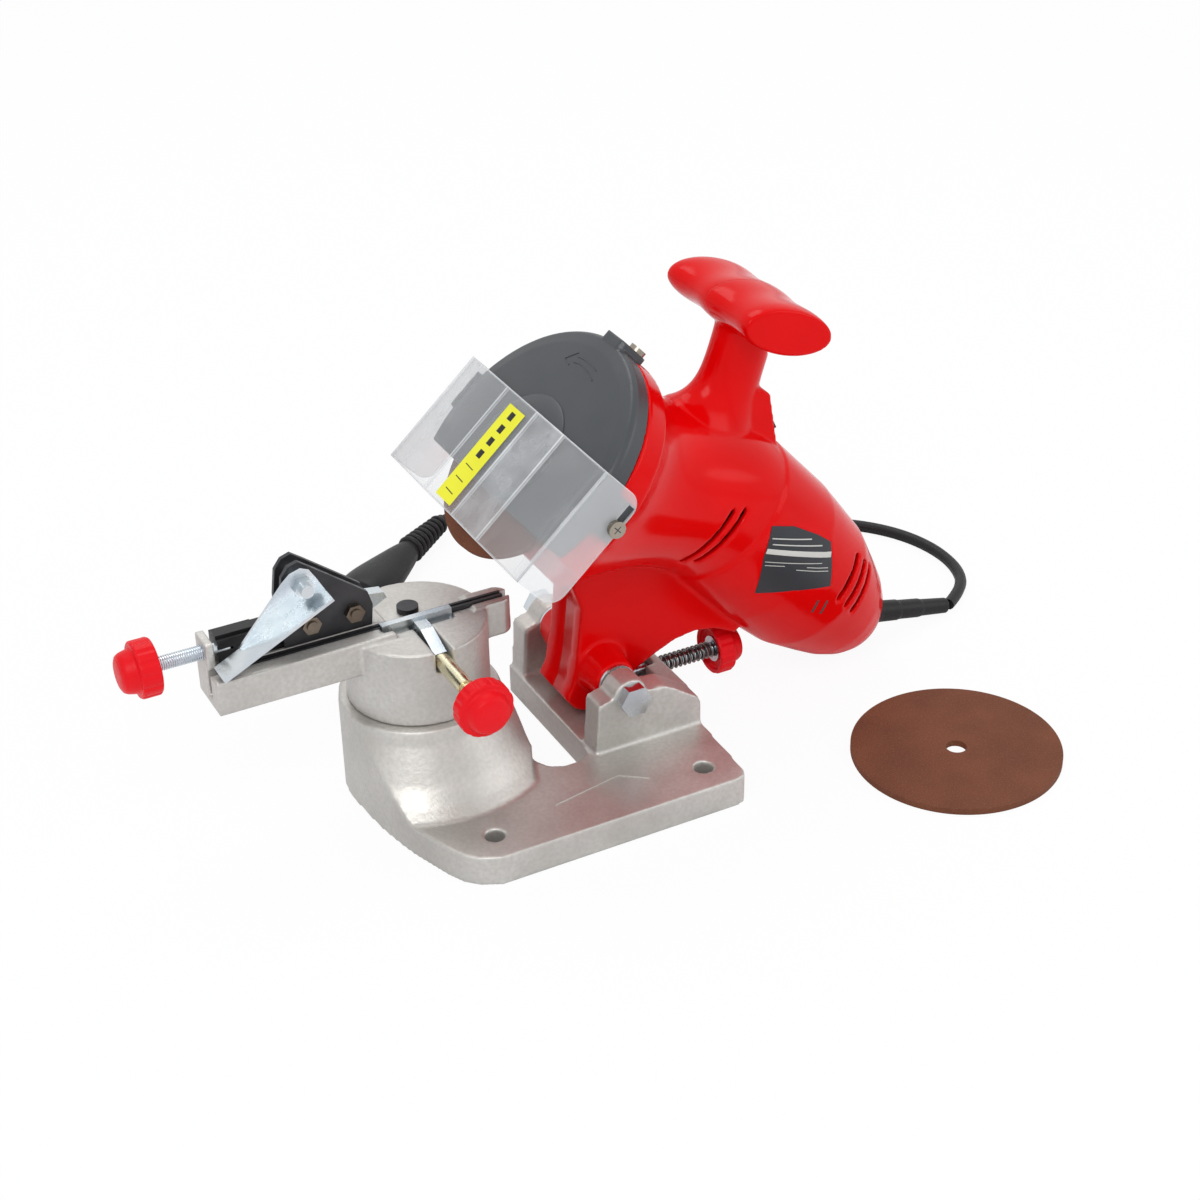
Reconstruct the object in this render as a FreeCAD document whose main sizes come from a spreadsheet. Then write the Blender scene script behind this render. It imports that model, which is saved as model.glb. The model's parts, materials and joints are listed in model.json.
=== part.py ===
import FreeCAD, Part
import math
import os
import re
import Sketcher

# Bench-top electric chain grinder. Lengths in mm. The origin lies on the bench plane below the
# head's pivot, X runs towards the motor's rear, Y from the near side to the far side, Z up.
# Head parts are drawn in the head's own frame: x = u (up the tilted wheel plane), y, z = n (wheel axis).

doc = FreeCAD.newDocument("ChainGrinder")

sizes = {
    "head_x": -24.9, "head_z": 150.9, "head_tilt": 42,
    "pivot_z": 41.5, "pivot_r": 4, "pivot_u": -54.7, "pivot_n": -98,
    "run_gap": 0.05, "seat_gap": 0.3,
    "plate_t": 15, "plate_front": 93.5, "arm_half": 45, "ear_in": 31.5,
    "bench_hole_r": 4.5, "bench_hole_y": -77.15, "bench_hole_l": -86.4, "bench_hole_m": 20,
    "drum_x": -86.4, "collar_r": 37.2, "collar_z": 49.3, "drum_r": 33, "drum_top": 86.3,
    "spindle_r": 5, "lock_r": 21,
    "rail_top": 88.2, "rail_low": 76, "arm_top": 88.6, "arm_low": 72, "arm_end": -181.4,
    "clamp_z": 80, "clamp_r": 3, "sleeve_r": 3.9, "clamp_knob_r": 13.2,
    "slide_y": 6, "slide_half": 3, "slide_floor": 82, "stop_t": 2.3,
    "stop_bolt_r": 2.5, "stop_bolt_z": 98, "stop_bolt_l": -135.4, "stop_bolt_m": -114.8,
    "lever_x": -139.4, "lever_z": 121.8, "lever_r": 3,
    "adjust_z": 96.5, "adjust_y": 4, "adjust_r": 3, "adjust_knob_r": 13,
    "depth_z": 21.5, "depth_r": 3, "depth_knob_r": 12.8, "depth_tip": 13.2, "wall_x": 37.6,
    "wheel_r": 50, "wheel_t": 3.2, "arbor_r": 5, "arbor_rear_r": 4,
    "motor_u": 39, "motor_r": 4, "gear_r": 29.9, "pinion_r": 9,
    "ring_r": 63.8, "barrel_r": 41, "shell_t": 3.5, "stator_r": 33, "core_r": 22.5,
    "boss_end": 30, "bar_half": 36, "neck_half": 13, "switch_u": 85.1, "switch_n": -87.3,
    "guard_r": 63.6, "guard_t": 2.5, "visor_t": 1.2, "visor_half": 65,
    "tab_u": 1.8, "tab_n": -8, "top_tab_n": -6,
    "cord_r": 3.1, "coil_r": 41, "coil_x": 168, "coil_y": 166, "spare_x": 141.2, "spare_y": -107.1,
}

sheet = doc.addObject("Spreadsheet::Sheet", "Dims")
for row, (word, value) in enumerate(sizes.items(), 1):
    sheet.set("A%d" % row, word)
    sheet.set("B%d" % row, str(value))
    sheet.setAlias("B%d" % row, word)
doc.recompute()

aliases = re.compile(r"\b(" + "|".join(sorted(sizes, key=len, reverse=True)) + r")\b")
nodes = {}


def dim(text):
    return aliases.sub(r"Dims.\1", str(text))


def bind(item, prop, text):
    item.setExpression(prop, dim(text))


def spot(at, axis=(0, 0, 1), angle=0):
    place = "placement(vector(%s;%s;%s);rotation(vector(%s;%s;%s);%s))" % (*at, *axis, angle)
    return dim(place)


# Turns that bring the local Z axis to X, to Y or to minus Y.
to_x = ((0, 1, 0), 90)
to_y = ((1, 0, 0), -90)
to_near = ((1, 0, 0), 90)
no_turn = ((0, 0, 1), 0)
along_u = ((1, 1, 1), 120)
in_head = spot(("head_x", 0, "head_z"), (0, 1, 0), "-head_tilt")


def put(item, at, turn=no_turn):
    item.setExpression("Placement", spot(at, *turn))
    return item


def box(name, low, high):
    item = doc.addObject("Part::Box", name)
    for prop, lo, hi in zip(("Length", "Width", "Height"), low, high):
        bind(item, prop, "(%s) - (%s)" % (hi, lo))
    return put(item, low)


def rod(name, r, start, length, turn=no_turn):
    item = doc.addObject("Part::Cylinder", name)
    bind(item, "Radius", r)
    bind(item, "Height", length)
    return put(item, start, turn)


def taper(name, r1, r2, start, length, turn=no_turn):
    item = doc.addObject("Part::Cone", name)
    bind(item, "Radius1", r1)
    bind(item, "Radius2", r2)
    bind(item, "Height", length)
    return put(item, start, turn)


def hexagon(name, r, start, length, turn=no_turn):
    item = doc.addObject("Part::Prism", name)
    item.Polygon = 6
    bind(item, "Circumradius", r)
    bind(item, "Height", length)
    return put(item, start, turn)


def outline(body, points):
    sketch = body.newObject("Sketcher::SketchObject", body.Name + "_outline")
    corners = [FreeCAD.Vector(guess(x), guess(y), 0) for x, y in points]
    count = len(points)
    for i in range(count):
        sketch.addGeometry(Part.LineSegment(corners[i], corners[(i + 1) % count]), False)
    for i in range(count):
        sketch.addConstraint(Sketcher.Constraint("Coincident", i, 2, (i + 1) % count, 1))
    for i, point in enumerate(points):
        for kind, value, guessed in zip(("DistanceX", "DistanceY"), point, corners[i]):
            index = sketch.addConstraint(Sketcher.Constraint(kind, -1, 1, i, 1, guessed))
            if isinstance(value, str):
                sketch.setExpression("Constraints[%d]" % index, dim(value))
    return sketch


# The starting value of a length written as a sum of aliases and numbers.
def guess(text):
    total = 0.0
    sign = 1
    for part in re.findall(r"[+-]|[\w.]+", str(text)):
        if part in "+-":
            sign = 1 if part == "+" else -1
        else:
            total += sign * (sizes[part] if part in sizes else float(part))
            sign = 1
    return total


# A polygon pushed along the body's own Z.
def prism(name, points, depth, at=(0, 0, 0), turn=no_turn):
    body = doc.addObject("PartDesign::Body", name)
    pad = body.newObject("PartDesign::Pad", name + "_pad")
    sketch = outline(body, points)
    pad.Profile = sketch
    bind(pad, "Length", depth)
    body.Tip = pad
    return put(body, at, turn)


# A side profile (x, z) pushed from y_high down to y_low.
def side(name, points, y_low, y_high):
    return prism(name, points, "(%s) - (%s)" % (y_high, y_low), (0, y_high, 0), to_near)


# A profile of (radius, height) pairs turned about the body's own Z.
def spin(name, points, at=(0, 0, 0), turn=no_turn):
    body = doc.addObject("PartDesign::Body", name)
    sketch = outline(body, points)
    sketch.Placement = FreeCAD.Placement(FreeCAD.Vector(0, 0, 0), FreeCAD.Rotation(FreeCAD.Vector(1, 0, 0), 90))
    turned = body.newObject("PartDesign::Revolution", name + "_turn")
    turned.Profile = sketch
    turned.ReferenceAxis = (sketch, ["V_Axis"])
    turned.Angle = 360
    body.Tip = turned
    return put(body, at, turn)


def fuse(name, *items):
    joined = doc.addObject("Part::MultiFuse", name)
    joined.Shapes = list(items)
    return joined


def cut(name, base, *tools):
    item = doc.addObject("Part::Cut", name)
    item.Base = base
    item.Tool = tools[0] if len(tools) == 1 else fuse(name + "_tools", *tools)
    return item


def common(name, first, second):
    item = doc.addObject("Part::Common", name)
    item.Base = first
    item.Tool = second
    return item


# Circles or ellipses (centre, major, minor, turn) skinned into one solid.
def loft(name, sections):
    item = doc.addObject("Part::Loft", name)
    rims = []
    for i, (at, major, minor, turn) in enumerate(sections):
        rim = doc.addObject("Part::Ellipse", "%s_rim%d" % (name, i))
        bind(rim, "MajorRadius", major)
        bind(rim, "MinorRadius", minor)
        rims.append(put(rim, at, turn))
    item.Sections = rims
    item.Solid = True
    item.Ruled = False
    return item


# Keeps a finished sub-part under its node name; head parts get the head's placement here.
def node(name, item, head=False):
    item.Label = name
    if head:
        held = [text for prop, text in item.ExpressionEngine if prop == "Placement"]
        local = held[0] if held else ""
        item.setExpression("Placement", in_head + ("*" + local if local else ""))
    nodes[name] = item
    return item


# Round wire wound about the local Z, both ends left inside the stated height.
def coil(name, mid_r, wire_r, pitch, height, at, turn=no_turn):
    path = doc.addObject("Part::Helix", name + "_path")
    bind(path, "Radius", mid_r)
    bind(path, "Pitch", pitch)
    bind(path, "Height", height)
    put(path, at, turn)
    ring = doc.addObject("Part::Circle", name + "_wire")
    bind(ring, "Radius", wire_r)
    ring.setExpression("Placement", spot(at, *turn) + "*" + spot((mid_r, 0, 0), (1, 0, 0), 90))
    wound = doc.addObject("Part::Sweep", name)
    wound.Sections = [ring]
    wound.Spine = (path, [])
    wound.Solid = True
    wound.Frenet = True
    return wound


# Fluted hand knob about the local Z: a ring with a hollow inner face, and a smaller domed cap on its outer end.
def knob(name, r, thick, at, turn, bore_r, flutes=14, hub=True):
    ring_end = "0.56 * " + thick
    middle = [("0", "0"), ("4.4", "0"), ("4.8", "3")] if hub else [("0", "3")]
    blank = spin(name + "_blank", middle + [
        (r + " - 2.6", "3"), (r + " - 2.1", "0.5"), (r + " - 1", "0"),
        (r, "1"), (r, ring_end + " - 0.8"), (r + " - 0.8", ring_end), ("0.79 * " + r, ring_end),
        ("0.71 * " + r, thick + " - 3"), ("0.64 * " + r, thick + " - 1.3"), ("0.5 * " + r, thick + " - 0.4"),
        ("0.3 * " + r, thick), ("0", thick)])
    tools = [rod(name + "_bore", bore_r, (0, 0, -1), thick + " - 2")]
    for i in range(flutes):
        angle = 2 * math.pi * i / flutes
        across = "(%s + 1.7) * %.5f" % (r, math.cos(angle))
        up = "(%s + 1.7) * %.5f" % (r, math.sin(angle))
        tools.append(rod("%s_flute%d" % (name, i), "2.2", (across, up, -1), thick + " + 2"))
    shaped = cut(name, blank, *tools)
    return put(shaped, at, turn)


# Base casting
plan = [
    (-122.6, 9.5), (-123.5, 0), (-122.5, -16.6), (-120.9, -31.4), (-118.5, -43.9), (-115.8, -55.5),
    (-112.4, -65.6), (-109, -75), (-105.2, -83.6), (-100, -88.9), (-90.1, "-plate_front"),
    (28.5, "-plate_front"), (33, -92), (35.3, -88.5), (35.7, -82), ("wall_x", "-arm_half"),
    ("wall_x", "arm_half"), (-20, "arm_half"), (-20, -27.6), (-21.5, -41), (-27, -44.4), (-35, -44.6),
    (-42, -41), (-46, -33), (-47.8, 0), (-50, 20), (-60, 38), (-75, 45), (-95, 45), (-112, 34)]
skirt_plan = [
    (-122.6, 9.5), (-123.5, 0), (-122.5, -16.6), (-120.9, -31.4), (-118.5, -43.9), (-115.8, -55.5),
    (-110, -68), (-60, -68), (-50.8, -44), (-46, -33), (-47.8, 0), (-50, 20), (-60, 38), (-75, 45),
    (-95, 45), (-112, 34)]
foot = prism("foot", plan, "plate_t")
skirt = spin("skirt", [
    ("0", "1"), (61, "1"), (61, "plate_t"), (55, "plate_t + 5"), (49, "plate_t + 12"),
    (44, "plate_t + 20"), ("collar_r + 2", "plate_t + 28"), ("collar_r", "collar_z"), ("0", "collar_z")],
    ("drum_x", 0, 0))
skirt_trim = prism("skirt_trim", skirt_plan, "collar_z + 5")
boss = common("boss", skirt, skirt_trim)
ear = [
    (-18.8, "plate_t - 1"), (-16.9, "pivot_z - 0.6"), (-9, "pivot_z + 1.8"), (-7.5, "pivot_z + 5"),
    (-4.5, "pivot_z + 7.8"), (0, "pivot_z + 8.9"), (4.5, "pivot_z + 7.8"), (7.5, "pivot_z + 5"),
    (8.5, "pivot_z + 0.6"), (17.3, "pivot_z + 0.4"), (22.6, "pivot_z - 2.4"), (36.4, 29.3),
    ("wall_x", 25.2), ("wall_x", "plate_t - 1")]
ear_near = side("ear_near", ear, "-arm_half", "-ear_in")
ear_far = side("ear_far", ear, "ear_in", "arm_half")
wall = box("wall", ("wall_x - 10", "-ear_in - 1", "plate_t - 1"), ("wall_x", "ear_in + 1", "depth_z + 7.5"))
cast = fuse("cast", foot, boss, ear_near, ear_far, wall)
base = cut(
    "base", cast,
    rod("boss_hollow", 28, ("drum_x", 0, -1), "42"),
    rod("spindle_way", "spindle_r + 2 * run_gap", ("drum_x", 0, 30), "40"),
    box("strip_hollow", (-74, "-plate_front + 5", -1), (8, -50, "plate_t - 5")),
    box("arm_hollow", (11, -39, -1), ("wall_x - 5", 39, "plate_t - 5")),
    rod("bench_hole_a", "bench_hole_r", ("bench_hole_l", "bench_hole_y", -1), "plate_t + 2"),
    rod("bench_hole_b", "bench_hole_r", ("bench_hole_m", "bench_hole_y", -1), "plate_t + 2"),
    rod("pivot_way", "pivot_r + run_gap", (0, "-arm_half - 1", "pivot_z"), "2 * arm_half + 2", to_y),
    box("wall_notch", ("wall_x - 11", -8, "plate_t"), ("wall_x - 5", 8, "depth_z + 9")),
    rod("depth_way", "depth_r + run_gap", ("wall_x - 12", 0, "depth_z"), "14", to_x))
node("base_casting", base)

bolt = fuse(
    "bolt",
    rod("bolt_shank", "pivot_r", (0, "-arm_half - 1", "pivot_z"), "2 * arm_half + 10", to_y),
    hexagon("bolt_head", 8, (0, "-arm_half - 5.6", "pivot_z"), "5.6", to_y))
node("pivot_bolt", bolt)
nut = cut(
    "nut",
    hexagon("nut_hex", 8, (0, "arm_half", "pivot_z"), "6.5", to_y),
    rod("nut_bore", "pivot_r", (0, "arm_half - 1", "pivot_z"), "9", to_y))
node("pivot_nut", nut)
washers = cut(
    "washers",
    fuse(
        "washer_pair",
        rod("washer_near", 9, (0, "-ear_in", "pivot_z"), "ear_in - boss_end - run_gap", to_y),
        rod("washer_far", 9, (0, "boss_end + run_gap", "pivot_z"), "ear_in - boss_end - run_gap", to_y)),
    rod("washer_bore", "pivot_r + run_gap", (0, "-ear_in - 1", "pivot_z"), "2 * ear_in + 2", to_y))
node("pivot_washers", washers)
node("head_return_spring", coil(
    "return_spring", "pivot_r + 0.9", "0.6", "1.6", "14.4", (0, -7.2, "pivot_z"), to_y))

# Depth stop
node("depth_stop_spring", coil(
    "depth_spring", "depth_r + 0.75", "0.45", "2.5", "30.1", ("wall_x + 0.8", 0, "depth_z"), to_x))
node("depth_stop_washer", cut(
    "depth_washer",
    rod("depth_disc", 6.5, ("wall_x + 31.7", 0, "depth_z"), "1.2", to_x),
    rod("depth_disc_bore", "depth_r + run_gap", ("wall_x + 31", 0, "depth_z"), "3", to_x)))
node("depth_stop_screw", rod(
    "depth_screw", "depth_r", ("depth_tip", 0, "depth_z"), "wall_x + 39.4 - depth_tip", to_x))
node("depth_stop_knob", knob(
    "depth_knob", "depth_knob_r", "16", ("wall_x + 30", 0, "depth_z"), to_x, "depth_r", hub=False))

# Vise
drum_low = "collar_z + seat_gap"
arm_side = [
    ("arm_end", "arm_low"), ("arm_end", "arm_top"), (-100, "arm_top"), (-100, "arm_low")]
vise_raw = fuse(
    "vise_raw",
    rod("drum", "drum_r", ("drum_x", 0, drum_low), "drum_top - collar_z - seat_gap"),
    side("vise_arm", arm_side, "-12", "14"),
    box("vise_end", ("arm_end - 3", -12, "arm_low"), ("arm_end + 1", 14, "arm_top")),
    box("vise_end_tab", ("arm_end - 3", -2, "arm_top - 1"), ("arm_end + 1", 12, "adjust_z + 6")),
    box("lug", (-60, -8, 69.5), (-45, 6, "drum_top + 1.2")),
    rod("lug_end", 7, (-46.9, -1, 69.5), "drum_top + 1.2 - 69.5"))
vise = cut(
    "vise", vise_raw,
    rod("drum_hollow", 27, ("drum_x", 0, "collar_z - 1"), "20"),
    rod("spindle_seat", "spindle_r", ("drum_x", 0, "collar_z"), "rail_low - 4 - collar_z"),
    box("rail_slot", ("arm_end - 4", -3.6, "rail_low"), (-38, 0.7, "arm_top + 1")),
    box("jaw_pocket", (-105, -7.9, "clamp_z + 3.7"), (-69.8, -3.5, "arm_top + 1")),
    box("clamp_slot", ("drum_x - sleeve_r - 0.1", -40, "clamp_z - sleeve_r - 0.1"),
        ("drum_x + sleeve_r + 0.1", -3.5, "arm_top + 1")),
    box("slide_way", (-177, "slide_y - slide_half", "slide_floor"),
        (-110, "slide_y + slide_half", "arm_top + 1")),
    rod("adjust_way", "adjust_r + run_gap", ("arm_end - 4", "adjust_y", "adjust_z"), "6", to_x),
    rod("rail_screw_way", "2.5", ("drum_x", 7.5, "drum_top - 9"), "12"))
node("vise_casting", vise)
node("vise_spindle", rod("spindle", "spindle_r", ("drum_x", 0, 27.5), "rail_low - 4 - 27.5"))
node("vise_lock_knob", knob(
    "lock_knob", "lock_r", "17", ("drum_x", 0, 40.7), ((1, 0, 0), 180), "spindle_r + run_gap", 20))
node("rail_screw", fuse(
    "rail_screw_all",
    rod("rail_screw_shank", 2.5, ("drum_x", 7.5, "drum_top - 8"), "9"),
    rod("rail_screw_head", 5, ("drum_x", 7.5, "drum_top"), "2.8")))
node("rail_front_plate", box("rail_front", (-178, -3.6, "rail_low"), (-44, -2.2, "rail_top")))
node("rail_back_plate", box("rail_back", (-178, -0.7, "rail_low"), (-44, 0.7, "rail_top")))
node("clamp_sleeve", cut(
    "sleeve",
    rod("sleeve_tube", "sleeve_r", ("drum_x", -55, "clamp_z"), "25", to_y),
    rod("sleeve_bore", "clamp_r + run_gap", ("drum_x", -56, "clamp_z"), "27", to_y)))
jaw_web = prism(
    "jaw_web", [
        (-28, "clamp_z - 3"), (-28, "clamp_z + 3"), (-14, 88.4), (-4.5, 88.8), (-4.5, 84), (-20, "clamp_z - 3")],
    "6", ("drum_x - 3", 0, 0), along_u)
node("clamp_jaw", fuse(
    "jaw",
    box("jaw_bar", (-104.4, -5.6, "clamp_z + 4"), (-70.4, -3.9, 90)),
    box("jaw_lip", (-104.4, -5.6, 88.6), (-70.4, -2.2, 90)),
    jaw_web))
node("clamp_screw", rod("clamp_rod", "clamp_r", ("drum_x", -76, "clamp_z"), "47.7", to_y))
node("clamp_knob", knob(
    "clamp_grip", "clamp_knob_r", "14", ("drum_x", -68, "clamp_z"), to_near, "clamp_r"))

# Chain stop
near_face = "slide_y - slide_half"
far_face = "slide_y + slide_half"
slide_low = "slide_floor + seat_gap"
slider_bar = box(
    "slider_bar", (-178.1, near_face + " + run_gap", slide_low), (-125, far_face + " - run_gap", "stop_bolt_z + 5"))
slider_head = box("slider_head", (-178.1, 1, "arm_top + seat_gap"), (-159.4, 12, 101.5))
tongue_trim = box("tongue_trim", (-180, 0, 0), (-176, 14, "arm_top + seat_gap"))
node("stop_slider", cut(
    "slider", fuse("slider_raw", slider_bar, slider_head), tongue_trim,
    rod("slider_hole", "stop_bolt_r + run_gap", ("stop_bolt_l", -4, "stop_bolt_z"), "20", to_y),
    rod("slider_socket", "adjust_r + run_gap", (-180, "adjust_y", "adjust_z"), "9", to_x)))
stop_side = [
    (-148, "arm_top + seat_gap"), (-148, 112), (-146.4, 124), (-143, 128.5), (-138.4, 130),
    (-133, 126), (-107.4, 106), (-105.4, 99), (-106.4, "arm_top + seat_gap")]
plate_faces = {
    "near": (near_face + " + run_gap - stop_t", near_face + " + run_gap"),
    "far": (far_face + " - run_gap", far_face + " - run_gap + stop_t")}
for hand, (low, high) in plate_faces.items():
    tools = [
        rod("stop_%s_hole%d" % (hand, i), "stop_bolt_r + run_gap", (x, -4, "stop_bolt_z"), "20", to_y)
        for i, x in enumerate(("stop_bolt_l", "stop_bolt_m"))]
    tools.append(rod("stop_%s_pin" % hand, "lever_r", ("lever_x", -4, "lever_z"), "20", to_y))
    node("stop_plate_" + hand, cut("stop_%s" % hand, side("stop_%s_raw" % hand, stop_side, low, high), *tools))
bolt_parts = []
nut_parts = []
nut_bores = []
for i, x in enumerate(("stop_bolt_l", "stop_bolt_m")):
    bolt_parts.append(rod(
        "stop_bolt_rod%d" % i, "stop_bolt_r", (x, -3.2, "stop_bolt_z"), far_face + " - run_gap + stop_t + 4.2", to_y))
    bolt_parts.append(rod(
        "stop_bolt_head%d" % i, 4.2, (x, far_face + " - run_gap + stop_t", "stop_bolt_z"), "2.5", to_y))
    nut_parts.append(hexagon(
        "stop_nut_hex%d" % i, 4.6, (x, near_face + " + run_gap - stop_t - 3", "stop_bolt_z"), "3", to_y))
    nut_bores.append(rod("stop_nut_bore%d" % i, "stop_bolt_r", (x, -5, "stop_bolt_z"), "8", to_y))
node("stop_bolts", fuse("stop_bolt_pair", *bolt_parts))
node("stop_nuts", cut("stop_nut_pair", fuse("stop_nut_raw", *nut_parts), *nut_bores))
node("lever_pin", fuse(
    "pin",
    rod("pin_rod", "lever_r", ("lever_x", -12.4, "lever_z"), "slide_y + slide_half + stop_t + 13.4", to_y),
    rod("pin_collar", 5, ("lever_x", -4.6, "lever_z"), "slide_y - slide_half + run_gap - stop_t + 4.6", to_y),
    hexagon("pin_nut", 4.9, ("lever_x", -9.5, "lever_z"), "3.2", to_y)))
# The lever is folded sheet: an upright plate on the pin, and a flange along its lower edge that ends in a foot.
lever_side = [
    (-170.6, 99.3), (-148.5, 124.9), (-144.5, 128.5), (-139.4, 130), (-135.5, 128.2), (-133, 124),
    (-130.1, 118.6), (-169.4, 98)]
lever_flange = [(-130.1, 118.6), (-182.4, 92.7), (-181.7, 91.3), (-129.4, 117.2)]
node("stop_lever", cut(
    "lever",
    fuse("lever_raw", side("lever_plate", lever_side, -6.2, -4.7), side("lever_fold", lever_flange, -17.2, -4.7)),
    rod("lever_bore", "lever_r + run_gap", ("lever_x", -12, "lever_z"), "10", to_y)))
pawl_side = [(-119.5, 93.5), (-119.5, 102), (-113, 104), (-99, 102), (-97.6, 99), (-110, 92.5)]
node("chain_pawl", cut(
    "pawl", side("pawl_raw", pawl_side, near_face + " + 2 * run_gap", far_face + " - 2 * run_gap"),
    rod("pawl_bore", "stop_bolt_r + run_gap", ("stop_bolt_m", 0, "stop_bolt_z"), "12", to_y)))
node("adjuster_screw", rod(
    "adjuster_rod", "adjust_r", ("arm_end - 35", "adjust_y", "adjust_z"), "44", to_x))
node("adjuster_knob", knob(
    "adjuster_grip", "adjust_knob_r", "17", ("arm_end - 24", "adjust_y", "adjust_z"),
    ((0, 1, 0), -90), "adjust_r"))

# Head: outer form, drawn in the head frame
flat = no_turn
cover_rims = [(0, -14, "ring_r"), (8, -35, 52), (30, -70, 42.5), ("motor_u", -106, "barrel_r - 1.2")]
outer_cone = loft("outer_cone", [((u, 0, n), r, r, flat) for u, n, r in cover_rims])
inner_rims = [(3, -20, "ring_r - 9"), (8, -35, "52 - shell_t"), (30, -70, "42.5 - shell_t"),
              ("motor_u", -106, "barrel_r - shell_t - 1.2")]
inner_cone = loft("inner_cone", [((u, 0, n), r, r, flat) for u, n, r in inner_rims])
barrel_rim = [
    ("barrel_r", -100), ("barrel_r", -140), ("barrel_r - 1", -150), ("barrel_r - 3.5", -174),
    ("barrel_r - 8.4", -190), ("barrel_r - 9.8", -194.5), ("barrel_r - 13", -204), ("barrel_r - 17.5", -213),
    ("barrel_r - 22", -219), ("barrel_r - 25.5", -222.5)]
barrel = spin("barrel", [("0", -222.5), ("0", -100)] + barrel_rim, ("motor_u", 0, 0))
barrel_room = [
    ("0", -100), ("barrel_r - shell_t", -100), ("barrel_r - shell_t", -116), ("stator_r", -116),
    ("stator_r", -134), ("barrel_r - shell_t", -134), ("barrel_r - shell_t", -140),
    ("barrel_r - shell_t - 3.5", -174), ("barrel_r - shell_t - 8", -192), ("barrel_r - shell_t - 13", -206),
    ("barrel_r - shell_t - 18", -213), ("barrel_r - shell_t - 22", -217.5), ("0", -217.5)]
inner_barrel = spin("inner_barrel", barrel_room, ("motor_u", 0, 0))
arm_profile = [
    (-39.5, -67.2), (-59.2, -84.7), (-71, -93.4), (-77.6, -96), (-78.5, -103.5), (-76.6, -108.8),
    (-66.4, -117), (-59.7, -117), (-47, -116.3), (-34.7, -119.6), (-23.5, -123.5), (-14.1, -129.7),
    (-7.2, -138.8), (-2.7, -150.7), (10, -150), (10, -60), (-15, -45), (-34, -55)]
head_arm = side("head_arm", arm_profile, "-15", "15")
boss_near = taper("boss_near", 13, 10, ("pivot_u", -14, "pivot_n"), "boss_end - 14", to_near)
boss_far = taper("boss_far", 13, 10, ("pivot_u", 14, "pivot_n"), "boss_end - 14", to_y)
neck_rims = [
    (62, -70, 31, 22), (70, -67.3, 24.3, 15.5), (80, -61.6, 19.6, 12), (90, -55.2, 17.6, 11.5),
    (99, -49.8, 17.3, 11.5), (107, -44.7, 17.6, 12)]
neck = loft("neck", [((u, 0, n), long, wide, no_turn) for u, n, long, wide in neck_rims])
for i, (u, n, long, wide) in enumerate(neck_rims):
    doc.getObject("neck_rim%d" % i).setExpression("Placement", spot((u, 0, n), (0, 1, 0), 90))
switch_mound = side("switch_mound", [
    (70, -64), (90.2, -67.6), (93, -70), (93.4, -74.4), (78.4, -97.6), (72, -104), (60, -100)], "-9.5", "9.5")
# Lying ellipse sections whose long axis slopes down towards the motor's rear.
bar_turn = ((0, 1, 0), "62.87")
bar_rims = [(-1, 23.6, 10.2), (-0.93, 24, 11), (-0.5, 22.8, 11), (0, 24.5, 12), (0.5, 22.8, 11), (0.93, 24, 11),
            (1, 23.6, 10.2)]
bar = doc.addObject("Part::Loft", "bar")
bar_ellipses = []
for i, (share, major, minor) in enumerate(bar_rims):
    rim = doc.addObject("Part::Ellipse", "bar_rim%d" % i)
    bind(rim, "MajorRadius", major)
    bind(rim, "MinorRadius", minor)
    at = ("116.5", "%s * bar_half" % share, "-37.7")
    rim.setExpression("Placement", spot(at, *bar_turn) + "*" + spot((0, 0, 0), (1, 0, 0), 90))
    bar_ellipses.append(rim)
bar.Sections = bar_ellipses
bar.Solid = True
bar.Ruled = False
ring = rod("ring", "ring_r", (0, 0, -14.5), "12.5")
# The lower front of the shell is cut back along the guard's mouth.
mouth_line = [(-24, 8), (-25, -14), (-36, -30), (-40, -66), (-90, -66), (-90, 8)]
room_line = [(-20, 8), (-21, -12), (-32, -27), (-35.5, -66), (-35.5, -90), (-90, -90), (-90, 8)]
front_trim = side("front_trim", mouth_line, "-80", "80")
room_trim = side("room_trim", room_line, "-80", "80")
nose = cut("nose", fuse("nose_raw", outer_cone, ring), front_trim)
head_raw = fuse("head_raw", nose, barrel, head_arm, boss_near, boss_far, neck, switch_mound, bar)

# Rooms inside the shell, kept apart by three bulkheads that carry the bearings.
rooms = cut(
    "rooms", fuse("rooms_raw", inner_cone, inner_barrel), room_trim,
    box("wall_a", (-90, -80, -24), (90, 80, 0)),
    box("wall_b", (-90, -80, -62), (90, 80, -50)),
    box("wall_c", (-90, -80, -206), (120, 80, -192)),
    box("holder_near", ("motor_u - 7", -40, -177), ("motor_u + 7", -12.7, -161)),
    box("holder_far", ("motor_u - 7", 12.7, -177), ("motor_u + 7", 40, -161)))
plate_skin = cut(
    "plate_skin",
    spin("skin_out", [
        ("0", -100), ("barrel_r", -100), ("barrel_r", -140), ("barrel_r - 1", -150),
        ("barrel_r - 3.5", -174), ("0", -174)], ("motor_u", 0, 0)),
    spin("skin_in", [
        ("0", -99), ("barrel_r - 0.7", -99), ("barrel_r - 0.7", -140), ("barrel_r - 1.7", -150),
        ("barrel_r - 4.2", -174), ("barrel_r - 4.2", -175), ("0", -175)], ("motor_u", 0, 0)))
plate_area = side("plate_area", [
    (47.2, -100.4), (54, -112.9), (58.6, -130.1), (60.2, -140.2), (52.5, -147.8), (44.2, -155.1), (30.9, -137.2),
    (18.4, -124), (33.3, -109)], "-60", "0")
rating = common("rating", plate_skin, plate_area)

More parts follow.
